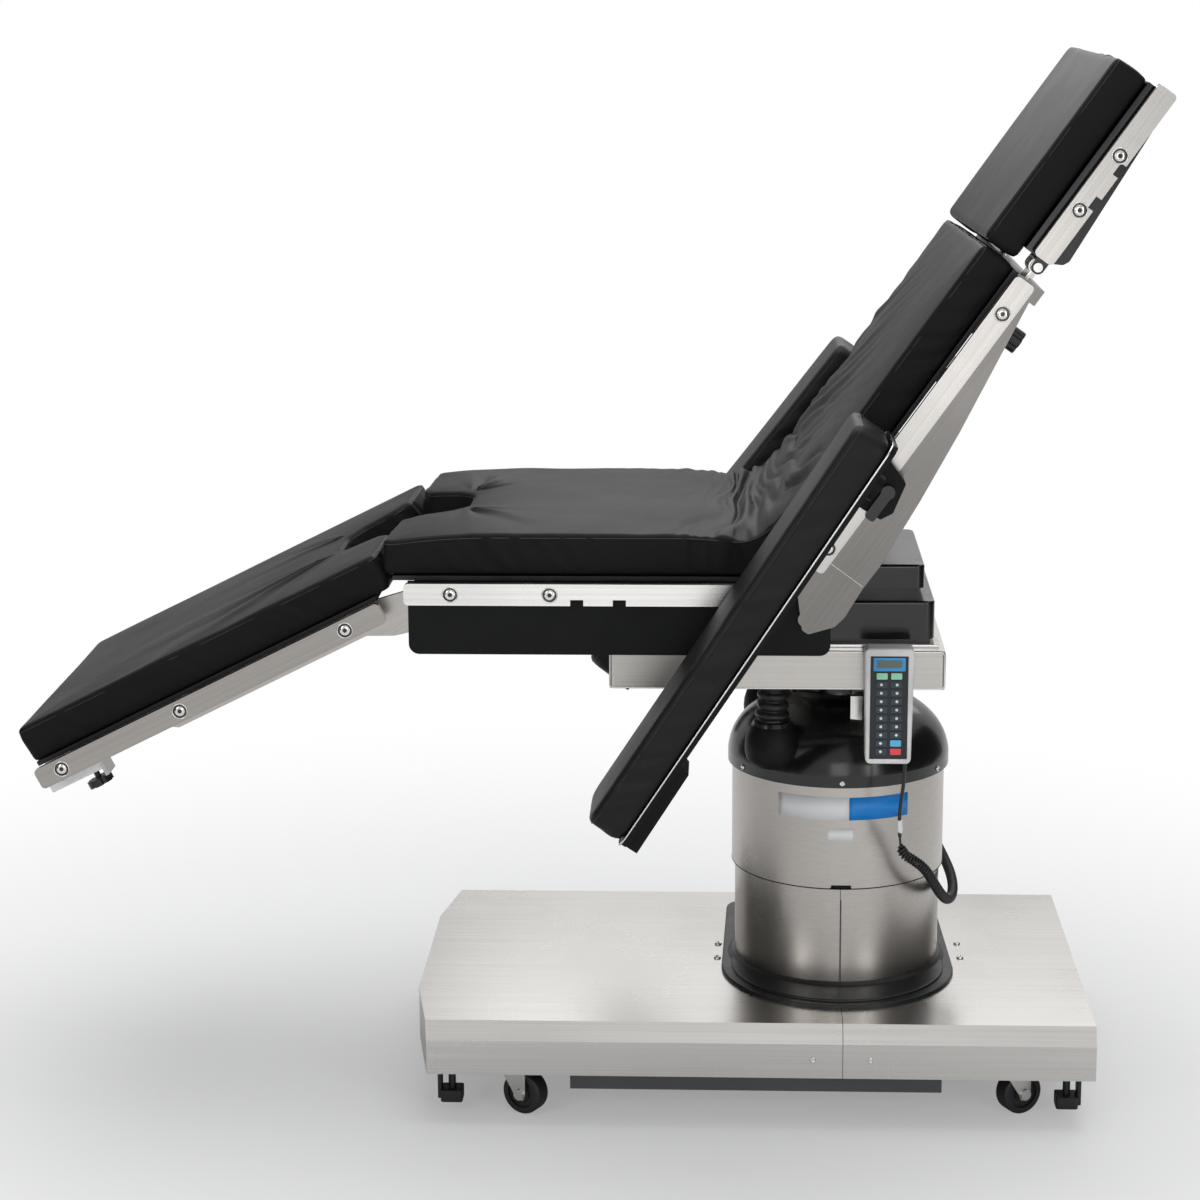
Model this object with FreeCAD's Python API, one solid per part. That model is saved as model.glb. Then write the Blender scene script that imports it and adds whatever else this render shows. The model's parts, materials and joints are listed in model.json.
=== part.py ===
import FreeCAD, Part
import math
import os

V = FreeCAD.Vector

# Operating table on a mobile base. Lengths in millimetres, angles in degrees.
# +X runs from the foot end to the head end, -Y is the control side, +Z is up, the floor is at Z 0.
# Leg, back and head sections are drawn lying flat, at their height in a level table, and are
# then folded about their hinges to the pose of the table as it stands.

# Pose
leg_drop = 26.5
back_rise = 54.5
near_board_pitch = 2.2
far_board_pitch = -2.3

# Fits
running_gap = 0.05
soft_gap = 0.3
sheet_gap = 0.4

# Base
base_foot_x = -580.0
base_head_x = 336.0
base_half = 286.0
base_top = 145.0
base_skirt = 72.0
base_bevel_in = 12.0
base_bevel_drop = 25.0
base_nose_in = 23.0
base_nose_half = 151.0
cover_wall = 2.0
cover_seam = 0.8
frame_rail_in = 196.0
frame_rail_out = 258.0
frame_low = 86.0
frame_high = 128.0
frame_wall = 5.0
pan_foot_x = -367.0
pan_head_x = 136.0
pan_half = 236.0
pan_low = 33.0
pan_wall = 2.5
inlet_head_x = 196.0
inlet_half = 160.0
inlet_low = 47.0

# Castors and floor locks
castor_foot_x = -447.0
castor_head_x = 222.0
castor_y = 226.0
castor_trail = 22.0
wheel_radius = 29.5
wheel_width = 25.0
axle_radius = 5.0
fork_plate = 3.0
fork_top = 82.0
stem_radius = 9.0
lock_foot_x = -528.0
lock_head_x = 304.0
lock_y = 232.0
lock_collar_radius = 12.5
lock_collar_low = 62.0
lock_post_radius = 5.0
lock_pad = 30.0
lock_pad_low = 15.0
lock_pad_high = 32.0
lock_guide = 5.7

# Column: every shroud and tube slides inside the next
shroud_wall = 1.1
lower_shroud_radius = 143.5
lower_shroud_top = 410.0
sleeve_low = 292.0
sleeve_length = 120.0
upper_shroud_low = 291.0
upper_shroud_top = 444.0
shroud_notch_width = 30.0
shroud_notch_height = 5.0
tube_wall = 7.0
outer_tube_radius = 66.0
outer_tube_top = 400.0
middle_tube_low = 130.0
middle_tube_top = 420.0
inner_tube_low = 165.0
column_plate = 12.0
cap_rim_radius = 154.0
cap_rim_low = 436.0
cap_band_top = 452.0
cap_wall = 4.0
neck_radius = 57.0
neck_top = 566.0
bracket_reach = 105.0
bracket_foot = 12.0
bracket_head = 28.0
bracket_thick = 3.0
ring_side = 162.0
ring_front = 220.0
ring_back = 226.0
ring_flange = 5.0
ring_collar_radius = 158.0
ring_height = 12.0
gaiter_x = -94.0
gaiter_y = 110.0
gaiter_radius = 23.0
gaiter_low = 519.0
gaiter_top = 564.0
cuff_top = 600.0
boss_radius = 36.0
boss_middle = 474.0

# Tilt head and saddle
pivot_z = 608.0
pivot_pin = 8.0
ear_half = 13.0
ear_in = 26.0
ear_out = 34.0
yoke_half_x = 24.0
yoke_half_y = 25.0
yoke_half_z = 13.0
saddle_foot_x = -313.0
saddle_head_x = 133.0
saddle_half = 185.0
saddle_low = 582.0
saddle_top = 634.0
saddle_wall = 3.0
bearing_rib_in = 45.0
bearing_rib = 10.0
lug_radius = 11.0
slide_in = 132.0
slide_out = 172.0
slide_height = 7.0

# Table top, shared by the sections
hinge_z = 697.0
leg_hinge_x = -548.0
back_hinge_x = -55.0
pad_half = 254.0
rail_height = 28.6
rail_thick = 9.5
rail_outer = 285.0
rail_mid = 34.0
post_radius = 9.0
bolt_head_radius = 7.0
bolt_sink = 6.0
panel_low = 46.0
panel_thick = 6.0
pin_radius = 10.0

# Seat
seat_foot_x = -597.0
seat_pad_end = -25.0
seat_pad_thick = 47.5
notch_half = 62.0
notch_mouth = 104.0
notch_depth = 86.0
seat_rail_foot = -575.0
seat_rail_head = -88.0
seat_bolts = (-514.5, -385.6, -140.0)
rail_notches = (-350.5, -295.5)
rail_corner = 6.0
rail_notch_width = 17.0
rail_notch_depth = 8.0
frame_plate_in = 226.0
frame_plate_out = 236.0
side_cover_out = 252.0
side_cover_wall = 3.0
side_cover_foot = -573.0
side_cover_head = -22.0
side_cover_low = 644.0
carriage_lower_half = 160.0
carriage_lower_head = 120.0
carriage_lower_top = 697.0
carriage_upper_half = 125.0
carriage_upper_head = 108.0
carriage_top = 739.0
carriage_neck = 10.0
carriage_foot_x = -110.0

# Leg section, measured from its hinge towards the foot end
leg_pad_start = 50.0
leg_pad_end = 565.0
leg_pad_thick = 51.0
leg_notch_end = 106.0
leg_rail_start = 45.0
leg_rail_end = 560.0
leg_bolts = (99.5, 345.4, 524.1)
leg_plate_in = 238.0
leg_plate_out = 246.0
leg_channel_low = 9.0
socket_start = 492.0
socket_end = 568.0
socket_y = 215.0
socket_half = 20.0
socket_low = 2.0
socket_high = 34.0
socket_bore = 12.5
socket_depth = 60.0
clamp_knob_at = 508.0
foot_knob_radius = 17.5
foot_knob_height = 10.0

# Back section, measured from its hinge towards the head end
back_pad_start = 93.5
back_pad_end = 522.0
back_pad_thick = 49.0
back_rail_start = 62.0
back_rail_end = 514.0
back_bolts = (94.5, 464.0)
back_plate_in = 262.0
back_plate_out = 272.0
back_plate_end = 516.0
rod_y = 150.0
rod_height = 18.0
rod_radius = 8.0
rod_start = 392.0
back_knob_at = 440.0
knob_radius = 16.0

# Head section
head_hinge = 534.0
head_start = 546.0
head_end = 800.0
head_pad_start = 537.0
head_pad_end = 800.0
head_pad_low = 57.0
head_pad_thick = 44.0
head_pad_round = 18.0
head_rail_start = 547.0
head_rail_end = 803.0
head_bolts = (622.8, 704.8)
head_notches = (640.0, 690.0)
head_shell_half = 262.0
head_pin = 6.0

# Arm boards, measured along the back section
board_clamp_at = 203.0
board_pivot_y = 370.0
board_half = 65.0
board_length = 612.0
board_past_pivot = 62.0
board_low = 56.0
board_panel = 8.0
board_pad_thick = 53.0
board_end_block = 119.0
board_block_drop = 20.0
clamp_out = 320.0
clamp_gap = 0.3
clamp_lip = 2.9
pivot_post = 12.0
lever_length = 42.0

# Hand control
pendant_x = 57.0
pendant_back = 195.0
pendant_thick = 28.0
pendant_low = 490.0
pendant_top = 647.0
pendant_half_top = 33.0
pendant_half_low = 30.0
lead_diameter = 5.0
curl_diameter = 15.0
socket_x = 96.0
socket_cord_y = 164.0

nodes = {}


def box(x0, x1, y0, y1, z0, z1):
    return Part.makeBox(x1 - x0, y1 - y0, z1 - z0, V(x0, y0, z0))


def rod(radius, start, end):
    """A round bar between two points."""
    run = V(*end) - V(*start)
    return Part.makeCylinder(radius, run.Length, V(*start), run)


def plate(points, y0, y1):
    """A flat plate whose outline is drawn in the XZ plane, between two values of Y."""
    corners = [V(x, y0, z) for x, z in points]
    face = Part.Face(Part.makePolygon(corners + corners[:1]))
    return face.extrude(V(0, y1 - y0, 0))


def slab(points, z0, z1):
    """A flat plate whose outline is drawn in the XY plane, between two heights."""
    corners = [V(x, y, z0) for x, y in points]
    face = Part.Face(Part.makePolygon(corners + corners[:1]))
    return face.extrude(V(0, 0, z1 - z0))


def mirrored(shape):
    return shape.mirror(V(0, 0, 0), V(0, 1, 0))


def pair(shape):
    """The shape and its mirror image across the table's middle."""
    return [shape, mirrored(shape)]


def joined(shapes):
    first = shapes[0]
    if len(shapes) > 1:
        first = first.fuse(shapes[1:])
    return first.removeSplitter()


def rounded(shape, radius, chosen):
    """Fillets the edges for which chosen(edge) is true."""
    edges = [edge for edge in shape.Edges if chosen(edge)]
    return shape.makeFillet(radius, edges) if edges else shape


def runs_along(axis):
    def chosen(edge):
        ends = [vertex.Point for vertex in edge.Vertexes]
        if len(ends) < 2:
            return False
        step = ends[1] - ends[0]
        return step.Length > 0 and abs(abs(step.dot(axis)) / step.Length - 1) < 1e-6
    return chosen


ALONG_X = V(1, 0, 0)
ALONG_Y = V(0, 1, 0)
ALONG_Z = V(0, 0, 1)


def keep(name, shapes):
    """Stores a node. Shapes that don't touch stay separate solids of the node."""
    parts = shapes if isinstance(shapes, list) else [shapes]
    nodes[name] = [part.copy() for part in parts]


def keep_folded(name, shapes, hinge_x, degrees):
    """Stores a node of a section, turned about its hinge from flat to the pose of the table."""
    keep(name, shapes)
    for part in nodes[name]:
        part.rotate(V(hinge_x, 0, hinge_z), ALONG_Y, degrees)


def rails(x0, x1, bolts, notches=()):
    """Side rails with counterbored bolts on spacing posts, for both sides of a section."""
    low = hinge_z + rail_mid - rail_height / 2
    inner = rail_outer - rail_thick
    rail = box(x0, x1, -rail_outer, -inner, low, low + rail_height)
    rail = rounded(rail, rail_corner, runs_along(ALONG_Y))
    for x in notches:
        half = rail_notch_width / 2
        rail = rail.cut(box(x - half, x + half, -rail_outer, -inner, low, low + rail_notch_depth))
    for x in bolts:
        rail = rail.cut(rod(post_radius, (x, -rail_outer, hinge_z + rail_mid),
                            (x, -rail_outer + bolt_sink, hinge_z + rail_mid)))
    return rail


def rail_bolts(bolts, inner_face):
    """Spacing post and socket head of each rail bolt, up to the face that carries the rail."""
    z = hinge_z + rail_mid
    found = []
    for x in bolts:
        post = rod(post_radius, (x, -rail_outer + rail_thick, z), (x, -inner_face, z))
        head = rod(bolt_head_radius, (x, -rail_outer + 0.5, z), (x, -rail_outer + bolt_sink, z))
        key = rod(3.0, (x, -rail_outer + 0.5, z), (x, -rail_outer + 3.5, z))
        found += [post, head.cut(key)]
    return found


def rail_set(x0, x1, bolts, inner_face, notches=()):
    rail = rails(x0, x1, bolts, notches)
    found = []
    for part in [rail] + rail_bolts(bolts, inner_face):
        found += pair(part)
    return found


# Base


def base_hull(inset):
    """The outer form of the base cover, or its inner form when drawn smaller by the wall."""
    half = base_half - inset
    top = base_top - inset
    section = [(-half, base_skirt - 1 if inset else base_skirt), (-half, top - base_bevel_drop),
               (-half + base_bevel_in, top), (half - base_bevel_in, top),
               (half, top - base_bevel_drop), (half, base_skirt - 1 if inset else base_skirt)]
    corners = [V(base_foot_x + inset, y, z) for y, z in section]
    length = base_head_x - base_foot_x - 2 * inset
    hull = Part.Face(Part.makePolygon(corners + corners[:1])).extrude(V(length, 0, 0))
    nose = slab([(base_foot_x + inset, -base_nose_half), (base_foot_x + base_nose_in + inset, -half),
                 (base_foot_x + base_nose_in + inset, -half - 9), (base_foot_x - 9, -half - 9),
                 (base_foot_x - 9, -base_nose_half)], 0, base_top + 9)
    return hull.cut(nose).cut(mirrored(nose))


def make_base_covers():
    shell = base_hull(0).cut(base_hull(cover_wall))
    hole = rod(lower_shroud_radius + 6, (0, 0, base_top - 9), (0, 0, base_top + 9))
    shell = shell.cut(hole)
    half_seam = cover_seam / 2
    keep("base_cover_foot", shell.common(box(base_foot_x, -half_seam, -base_half, base_half, 0, base_top)))
    keep("base_cover_head", shell.common(box(half_seam, base_head_x, -base_half, base_half, 0, base_top)))


def channel(x0, x1, y0, y1):
    outer = box(x0, x1, y0, y1, frame_low, frame_high)
    wide = y1 - y0 - 2 * frame_wall
    return outer.cut(box(x0, x1, y0 + frame_wall, y0 + frame_wall + wide, frame_low, frame_high - frame_wall))


def make_base_frame():
    """Welded chassis: side channels, cross channels, castor sockets, lock cylinders and floor pan."""
    foot = base_foot_x + 34
    head = base_head_x - 10
    parts = pair(channel(foot, head, -frame_rail_out, -frame_rail_in))
    for x in (castor_foot_x, castor_head_x):
        parts.append(box(x - 30, x + 30, -frame_rail_in, frame_rail_in, frame_high - frame_wall, frame_high))
    parts.append(box(-140, 140, -frame_rail_in, frame_rail_in, frame_low, frame_low + column_plate))
    for x in (castor_foot_x, castor_head_x):
        parts += pair(rod(20, (x, -castor_y, frame_low), (x, -castor_y, frame_high)))
    for x in (lock_foot_x, lock_head_x):
        parts += pair(rod(lock_collar_radius, (x, -lock_y, lock_collar_low), (x, -lock_y, frame_high)))
    frame = joined(parts)
    for x in (castor_foot_x, castor_head_x):
        for bore in pair(rod(stem_radius + running_gap, (x, -castor_y, 0), (x, -castor_y, frame_high - 4))):
            frame = frame.cut(bore)
    for x in (lock_foot_x, lock_head_x):
        for bore in pair(rod(lock_post_radius + running_gap, (x, -lock_y, 0), (x, -lock_y, frame_high - 4))):
            frame = frame.cut(bore)
    pan = box(pan_foot_x, pan_head_x, -pan_half, pan_half, pan_low, frame_low)
    pan = pan.cut(box(pan_foot_x + pan_wall, pan_head_x - pan_wall, -pan_half + pan_wall,
                      pan_half - pan_wall, pan_low + pan_wall, frame_low))
    inlet = box(pan_head_x, inlet_head_x, -inlet_half, inlet_half, inlet_low, frame_low)
    inlet = rounded(inlet, 8.0, runs_along(ALONG_Y))
    keep("base_frame", [frame, pan, inlet])


def ring_outline(grow):
    """Outline of the boot ring: a half circle at the front and straight sides that reach back."""
    side = ring_side + grow
    centre_y = ring_side - ring_front
    near = V(side, centre_y, 0)
    back = V(side - 8, ring_back + grow, 0)
    near_foot = V(-near.x, near.y, 0)
    back_foot = V(-back.x, back.y, 0)
    edges = [Part.Arc(near_foot, V(0, centre_y - side, 0), near).toShape(), Part.makeLine(near, back),
             Part.makeLine(back, back_foot), Part.makeLine(back_foot, near_foot)]
    return Part.Face(Part.Wire(edges))


def make_boot_ring():
    flange = ring_outline(0).extrude(V(0, 0, ring_flange))
    flange = rounded(flange, 34.0, lambda e: runs_along(ALONG_Z)(e) and e.BoundBox.YMin > 0)
    flange = flange.makeFillet(2.0, [e for e in flange.Edges if e.BoundBox.ZMin > ring_flange - 0.01])
    lip = ring_outline(-14).extrude(V(0, 0, ring_flange + 3))
    lip = rounded(lip, 26.0, lambda e: runs_along(ALONG_Z)(e) and e.BoundBox.YMin > 0)
    lip = lip.makeFillet(2.5, [e for e in lip.Edges if e.BoundBox.ZMin > ring_flange + 2.9])
    collar = Part.makeCone(ring_collar_radius, lower_shroud_radius + 3, ring_height)
    ring = joined([flange, lip, collar])
    ring = ring.cut(rod(lower_shroud_radius + running_gap, (0, 0, -1), (0, 0, ring_height + 1)))
    ring.translate(V(0, 0, base_top))
    keep("boot_ring", ring)


def tube(radius, wall, low, high):
    return rod(radius, (0, 0, low), (0, 0, high)).cut(rod(radius - wall, (0, 0, low), (0, 0, high)))


def make_shrouds():
    """Two half shells on the base, two loose sleeves and the upper shroud, each inside the next."""
    lower = tube(lower_shroud_radius, shroud_wall, base_top, lower_shroud_top)
    halves = [lower.common(box(-200, -cover_seam / 2, -200, 200, 0, 500)),
              lower.common(box(cover_seam / 2, 200, -200, 200, 0, 500))]
    keep("lower_shroud", halves)
    inner = lower_shroud_radius + sheet_gap + shroud_wall
    outer = inner + sheet_gap + shroud_wall
    upper = outer + sheet_gap + shroud_wall
    keep("shroud_sleeve_inner", tube(inner, shroud_wall, sleeve_low, sleeve_low + sleeve_length))
    keep("shroud_sleeve_outer", tube(outer, shroud_wall, sleeve_low, sleeve_low + sleeve_length))
    skirt = tube(upper, shroud_wall, upper_shroud_low, upper_shroud_top)
    notch = box(-shroud_notch_width / 2, shroud_notch_width / 2, -upper - 1, 0,
                upper_shroud_low, upper_shroud_low + shroud_notch_height)
    notch = rounded(notch, 2.0, lambda e: runs_along(ALONG_Y)(e) and e.BoundBox.ZMin > upper_shroud_low + 1)
    keep("upper_shroud", skirt.cut(notch))
    return upper


def make_column():
    low = frame_low + column_plate
    outer = tube(outer_tube_radius, tube_wall, low, outer_tube_top)
    flange = tube(outer_tube_radius + 42, tube_wall + 42, low, low + column_plate)
    keep("outer_column", joined([outer, flange]))
    middle = outer_tube_radius - tube_wall - sheet_gap
    keep("middle_column", tube(middle, tube_wall, middle_tube_low, middle_tube_top))
    inner = middle - tube_wall - sheet_gap
    lift = tube(inner, tube_wall, inner_tube_low, neck_top - 20)
    head = rod(neck_radius - cap_wall - soft_gap, (0, 0, neck_top - 30), (0, 0, neck_top - 8))
    ear = box(-ear_half, ear_half, ear_in, ear_out, neck_top - 8, pivot_z)
    ear = joined([ear, rod(ear_half, (0, ear_in, pivot_z), (0, ear_out, pivot_z))])
    ear = ear.cut(rod(pivot_pin + running_gap, (0, ear_in - 1, pivot_z), (0, ear_out + 1, pivot_z)))
    keep("inner_column", [joined([lift, head] + pair(ear)), make_neck_bracket()])


def cap_profile(inset):
    """Half section of the domed cap: rim band, shoulder and neck, or its inner form."""
    rim = cap_rim_radius - (cap_rim_radius - upper_radius if inset else 0)
    d = inset
    low = cap_rim_low - (1 if inset else 0)
    neck_end = neck_top + (1 if inset else 0)
    foot_of_neck = V(neck_radius + 9 - d, 0, 534 - d)
    wire = [Part.makeLine(V(rim, 0, low), V(rim, 0, cap_band_top - d)),
            Part.Arc(V(rim, 0, cap_band_top - d), V(148 - d, 0, 476 - d), V(132 - d, 0, 500 - d)).toShape(),
            Part.Arc(V(132 - d, 0, 500 - d), V(104 - d, 0, 521 - d), foot_of_neck).toShape(),
            Part.Arc(foot_of_neck, V(neck_radius + 2.2 - d, 0, 538 - d), V(neck_radius - d, 0, 545 - d)).toShape(),
            Part.makeLine(V(neck_radius - d, 0, 545 - d), V(neck_radius - d, 0, neck_end)),
            Part.makeLine(V(neck_radius - d, 0, neck_end), V(0, 0, neck_end)),
            Part.makeLine(V(0, 0, neck_end), V(0, 0, low)),
            Part.makeLine(V(0, 0, low), V(rim, 0, low))]
    return Part.Face(Part.Wire(wire)).revolve(V(0, 0, 0), ALONG_Z, 360)


def make_cap():
    """Moulded dome with a band at its rim, a neck, and a swelling under each gaiter."""
    rise = gaiter_low - boss_middle
    sink = boss_middle - cap_band_top - 1
    turn = math.acos(0.72)
    high = Part.makeSphere(boss_radius).common(box(-60, 60, -60, 60, 0, boss_radius * math.sin(turn)))
    low = Part.makeSphere(boss_radius).common(box(-60, 60, -60, 60, -60, 0))
    parts = []
    for half, size in ((high, rise / (boss_radius * math.sin(turn))), (low, sink / boss_radius)):
        stretch = FreeCAD.Matrix()
        stretch.scale(1, 1, size)
        parts.append(half.transformGeometry(stretch))
    boss = parts[0].fuse(parts[1])
    boss.translate(V(gaiter_x, -gaiter_y, boss_middle))
    outer = cap_profile(0).fuse([boss, mirrored(boss)])
    inside = cap_profile(cap_wall).fuse(rod(upper_radius, (0, 0, cap_rim_low - 1), (0, 0, upper_shroud_top)))
    cap = outer.cut(inside)
    for hole in pair(rod(lug_radius + 8, (gaiter_x, -gaiter_y, boss_middle), (gaiter_x, -gaiter_y, 600))):
        cap = cap.cut(hole)
    for seat in pair(rod(gaiter_radius + 1, (gaiter_x, -gaiter_y, gaiter_low), (gaiter_x, -gaiter_y, 600))):
        cap = cap.cut(seat)
    keep("shroud_cap", max(cap.Solids, key=lambda s: s.Volume))


def make_neck_bracket():
    """Folded strip on the dome beside the neck that the cables of the tilt head are clipped to."""
    low = cap_band_top
    top = neck_top - 14
    outer = box(bracket_foot, bracket_head, -bracket_reach, 0, low, top)
    inner = box(bracket_foot + bracket_thick, bracket_head, -bracket_reach + bracket_thick, 0, low, top)
    bracket = outer.cut(inner)
    return bracket.cut(cap_profile(0))


def make_gaiters():
    """Bellows round each tilt cylinder, with three full folds."""
    edges = []
    fold = (gaiter_top - gaiter_low) / 6
    points = [V(0, 0, gaiter_low)]
    for i in range(7):
        wide = gaiter_radius if i % 2 else gaiter_radius - 5
        points.append(V(wide, 0, gaiter_low + i * fold))
    points.append(V(0, 0, gaiter_top))
    cuff = [V(lug_radius, 0, gaiter_top), V(lug_radius, 0, cuff_top), V(0, 0, cuff_top)]
    points = points[:-1] + cuff
    for start, end in zip(points, points[1:]):
        edges.append(Part.makeLine(start, end))
    edges.append(Part.makeLine(points[-1], points[0]))
    gaiter = Part.Face(Part.Wire(edges)).revolve(V(0, 0, 0), ALONG_Z, 360)
    gaiter.translate(V(gaiter_x, -gaiter_y, 0))
    keep("gaiters", pair(gaiter))


def make_yoke():
    """Cross block: its pins along Y turn in the column's ears, its pins along X carry the saddle."""
    block = box(-yoke_half_x, yoke_half_x, -yoke_half_y, yoke_half_y,
                pivot_z - yoke_half_z, pivot_z + yoke_half_z)
    block = rounded(block, 4.0, runs_along(ALONG_Z))
    across = rod(pivot_pin, (0, -ear_out - 2, pivot_z), (0, ear_out + 2, pivot_z))
    reach = bearing_rib_in + bearing_rib + 2
    along = rod(pivot_pin, (-reach, 0, pivot_z), (reach, 0, pivot_z))
    keep("tilt_yoke", joined([block, across, along]))


def make_saddle():
    """Pressed steel beam, open below, with ribs that hold the tilt bearings."""
    w = saddle_wall
    beam = box(saddle_foot_x, saddle_head_x, -saddle_half, saddle_half, saddle_low, saddle_top)
    beam = rounded(beam, 6.0, runs_along(ALONG_Z))
    inner = box(saddle_foot_x + w, saddle_head_x - w, -saddle_half + w, saddle_half - w,
                saddle_low + w, saddle_top - w)
    inner = rounded(inner, 3.0, runs_along(ALONG_Z))
    mouth = box(saddle_foot_x + 30, saddle_head_x - 30, -saddle_half + 28, saddle_half - 28,
                saddle_low, saddle_low + w)
    beam = beam.cut(inner).cut(mouth)
    parts = [beam]
    for side in (-1, 1):
        x = side * (bearing_rib_in + bearing_rib / 2)
        rib = [(-103, saddle_top - w), (-103, pivot_z + 10), (-18, pivot_z - 17), (18, pivot_z - 17),
               (103, pivot_z + 10), (103, saddle_top - w)]
        parts.append(plate_x(rib, x - bearing_rib / 2, x + bearing_rib / 2))
    for side in (-1, 1):
        parts.append(box(saddle_foot_x + w, saddle_head_x - w, side * 103 - 3, side * 103 + 3,
                         pivot_z, saddle_top - w))
    beam = joined(parts)
    bore = rod(pivot_pin + running_gap, (-80, 0, pivot_z), (80, 0, pivot_z))
    keep("saddle_beam", beam.cut(bore))


def make_saddle_fittings():
    """Slide bars on the saddle, the ledge that the hand control hangs on, and its cord socket."""
    slide_top = saddle_top + slide_height
    bar = box(saddle_foot_x + 12, saddle_head_x - 8, -slide_out, -slide_in, saddle_top, slide_top)
    bar = rounded(bar, 1.5, lambda e: runs_along(ALONG_X)(e) and e.BoundBox.ZMin > saddle_top + 1)
    ledge = plate_x([(-saddle_half, 596), (-saddle_half - 7, 596), (-saddle_half - 7, 616),
                     (-saddle_half - 4.5, 616), (-saddle_half - 4.5, 599), (-saddle_half, 599)],
                    pendant_x - 16, pendant_x + 16)
    socket = rod(9, (socket_x, socket_cord_y, saddle_low), (socket_x, socket_cord_y, saddle_low - 14))
    keep("saddle_fittings", pair(bar) + [ledge, socket])


def plate_x(points, x0, x1):
    """A plate whose outline is drawn in the YZ plane, between two values of X."""
    corners = [V(x0, y, z) for y, z in points]
    return Part.Face(Part.makePolygon(corners + corners[:1])).extrude(V(x1 - x0, 0, 0))


# Castors


def make_castor(index, x, y, heading):
    """Swivel fork with its axle, and the wheel on it."""
    axle_x = castor_trail
    half = wheel_width / 2
    side = [(axle_x - 9, wheel_radius), (axle_x - 6, wheel_radius - 8), (axle_x + 6, wheel_radius - 8),
            (axle_x + 9, wheel_radius), (axle_x + 9, fork_top), (-14, fork_top), (-14, fork_top - 12)]
    fork = plate(side, half + 1, half + 1 + fork_plate)
    fork = rounded(fork, 3.0, lambda e: runs_along(ALONG_Y)(e) and e.BoundBox.ZMax < wheel_radius)
    bridge = box(-14, axle_x + 9, -half - 1, half + 1, fork_top - fork_plate, fork_top)
    stem = rod(stem_radius, (0, 0, fork_top), (0, 0, frame_high - 8))
    crown = rod(stem_radius + 9, (0, 0, fork_top), (0, 0, frame_low - soft_gap))
    reach = half + fork_plate + 4
    axle = rod(axle_radius, (axle_x, -reach, wheel_radius), (axle_x, reach, wheel_radius))
    nut = rod(axle_radius + 2.5, (axle_x, half + fork_plate + 1, wheel_radius), (axle_x, reach, wheel_radius))
    body = joined(pair(fork) + [bridge, stem, crown, axle] + pair(nut))
    tread = rod(wheel_radius, (axle_x, -half, wheel_radius), (axle_x, half, wheel_radius))
    tread = tread.makeFillet(4.0, [e for e in tread.Edges if len(e.Vertexes) == 1])
    for dish in pair(rod(wheel_radius - 9, (axle_x, -half - 1, wheel_radius), (axle_x, -half + 4, wheel_radius))):
        tread = tread.cut(dish)
    hub = rod(11, (axle_x, -half, wheel_radius), (axle_x, half, wheel_radius))
    wheel = joined([tread, hub])
    wheel = wheel.cut(rod(axle_radius + running_gap, (axle_x, -50, wheel_radius), (axle_x, 50, wheel_radius)))
    for name, shape in (("castor_fork_%d" % index, body), ("castor_wheel_%d" % index, wheel)):
        shape.rotate(V(0, 0, 0), ALONG_Z, heading)
        shape.translate(V(x, y, 0))
        keep(name, shape)


castors = ((castor_foot_x, -castor_y, -28.0), (castor_foot_x, castor_y, 20.0),
           (castor_head_x, -castor_y, 28.0), (castor_head_x, castor_y, -20.0))


def make_floor_locks():
    """Four hydraulic feet: a post in its cylinder and a rubber-shod pad with an upright guide."""
    feet = []
    for x, out in ((lock_foot_x, -1), (lock_head_x, 1)):
        post = rod(lock_post_radius, (x, -lock_y, lock_pad_high - 4), (x, -lock_y, frame_high - 14))
        half = lock_pad / 2
        pad = box(x - half, x + half, -lock_y - half, -lock_y + half, lock_pad_low, lock_pad_high)
        pad = rounded(pad, 4.0, runs_along(ALONG_Z))
        pad = pad.makeFillet(2.0, [e for e in pad.Edges if e.BoundBox.ZMax < lock_pad_low + 0.01])
        near = x + out * (lock_collar_radius + cover_seam)
        far = near + out * lock_guide
        guide = box(min(near, far), max(near, far), -lock_y - 11, -lock_y + 11,
                    lock_pad_low + 5, base_skirt + 4)
        guide = rounded(guide, 2.0, runs_along(ALONG_Z))
        feet += pair(joined([post, pad, guide]))
    keep("floor_lock_feet", feet)


# Seat section


def notch_tool(edge_x, bottom_x, low, high):
    """The perineal cut-out: a round-bottomed recess that widens towards the section's edge."""
    out = 1 if edge_x > bottom_x else -1
    points = [(edge_x + out * 9, -notch_mouth - 6), (edge_x - out * 14, -notch_mouth + 14),
              (bottom_x + out * 18, -notch_half), (bottom_x, -notch_half), (bottom_x, notch_half),
              (bottom_x + out * 18, notch_half), (edge_x - out * 14, notch_mouth - 14),
              (edge_x + out * 9, notch_mouth + 6)]
    tool = slab(points, low, high)
    return rounded(tool, 12.0, lambda e: runs_along(ALONG_Z)(e) and abs(e.Vertexes[0].X - edge_x) > 12)


def cushion(x0, x1, half, low, high, radius=14.0):
    """A closed pad with round corners and eased upper edges."""
    pad = box(x0, x1, -half, half, low, high)
    pad = rounded(pad, radius, runs_along(ALONG_Z))
    return pad.makeFillet(9.0, [e for e in pad.Edges if e.BoundBox.ZMin > high - 0.01])


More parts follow.
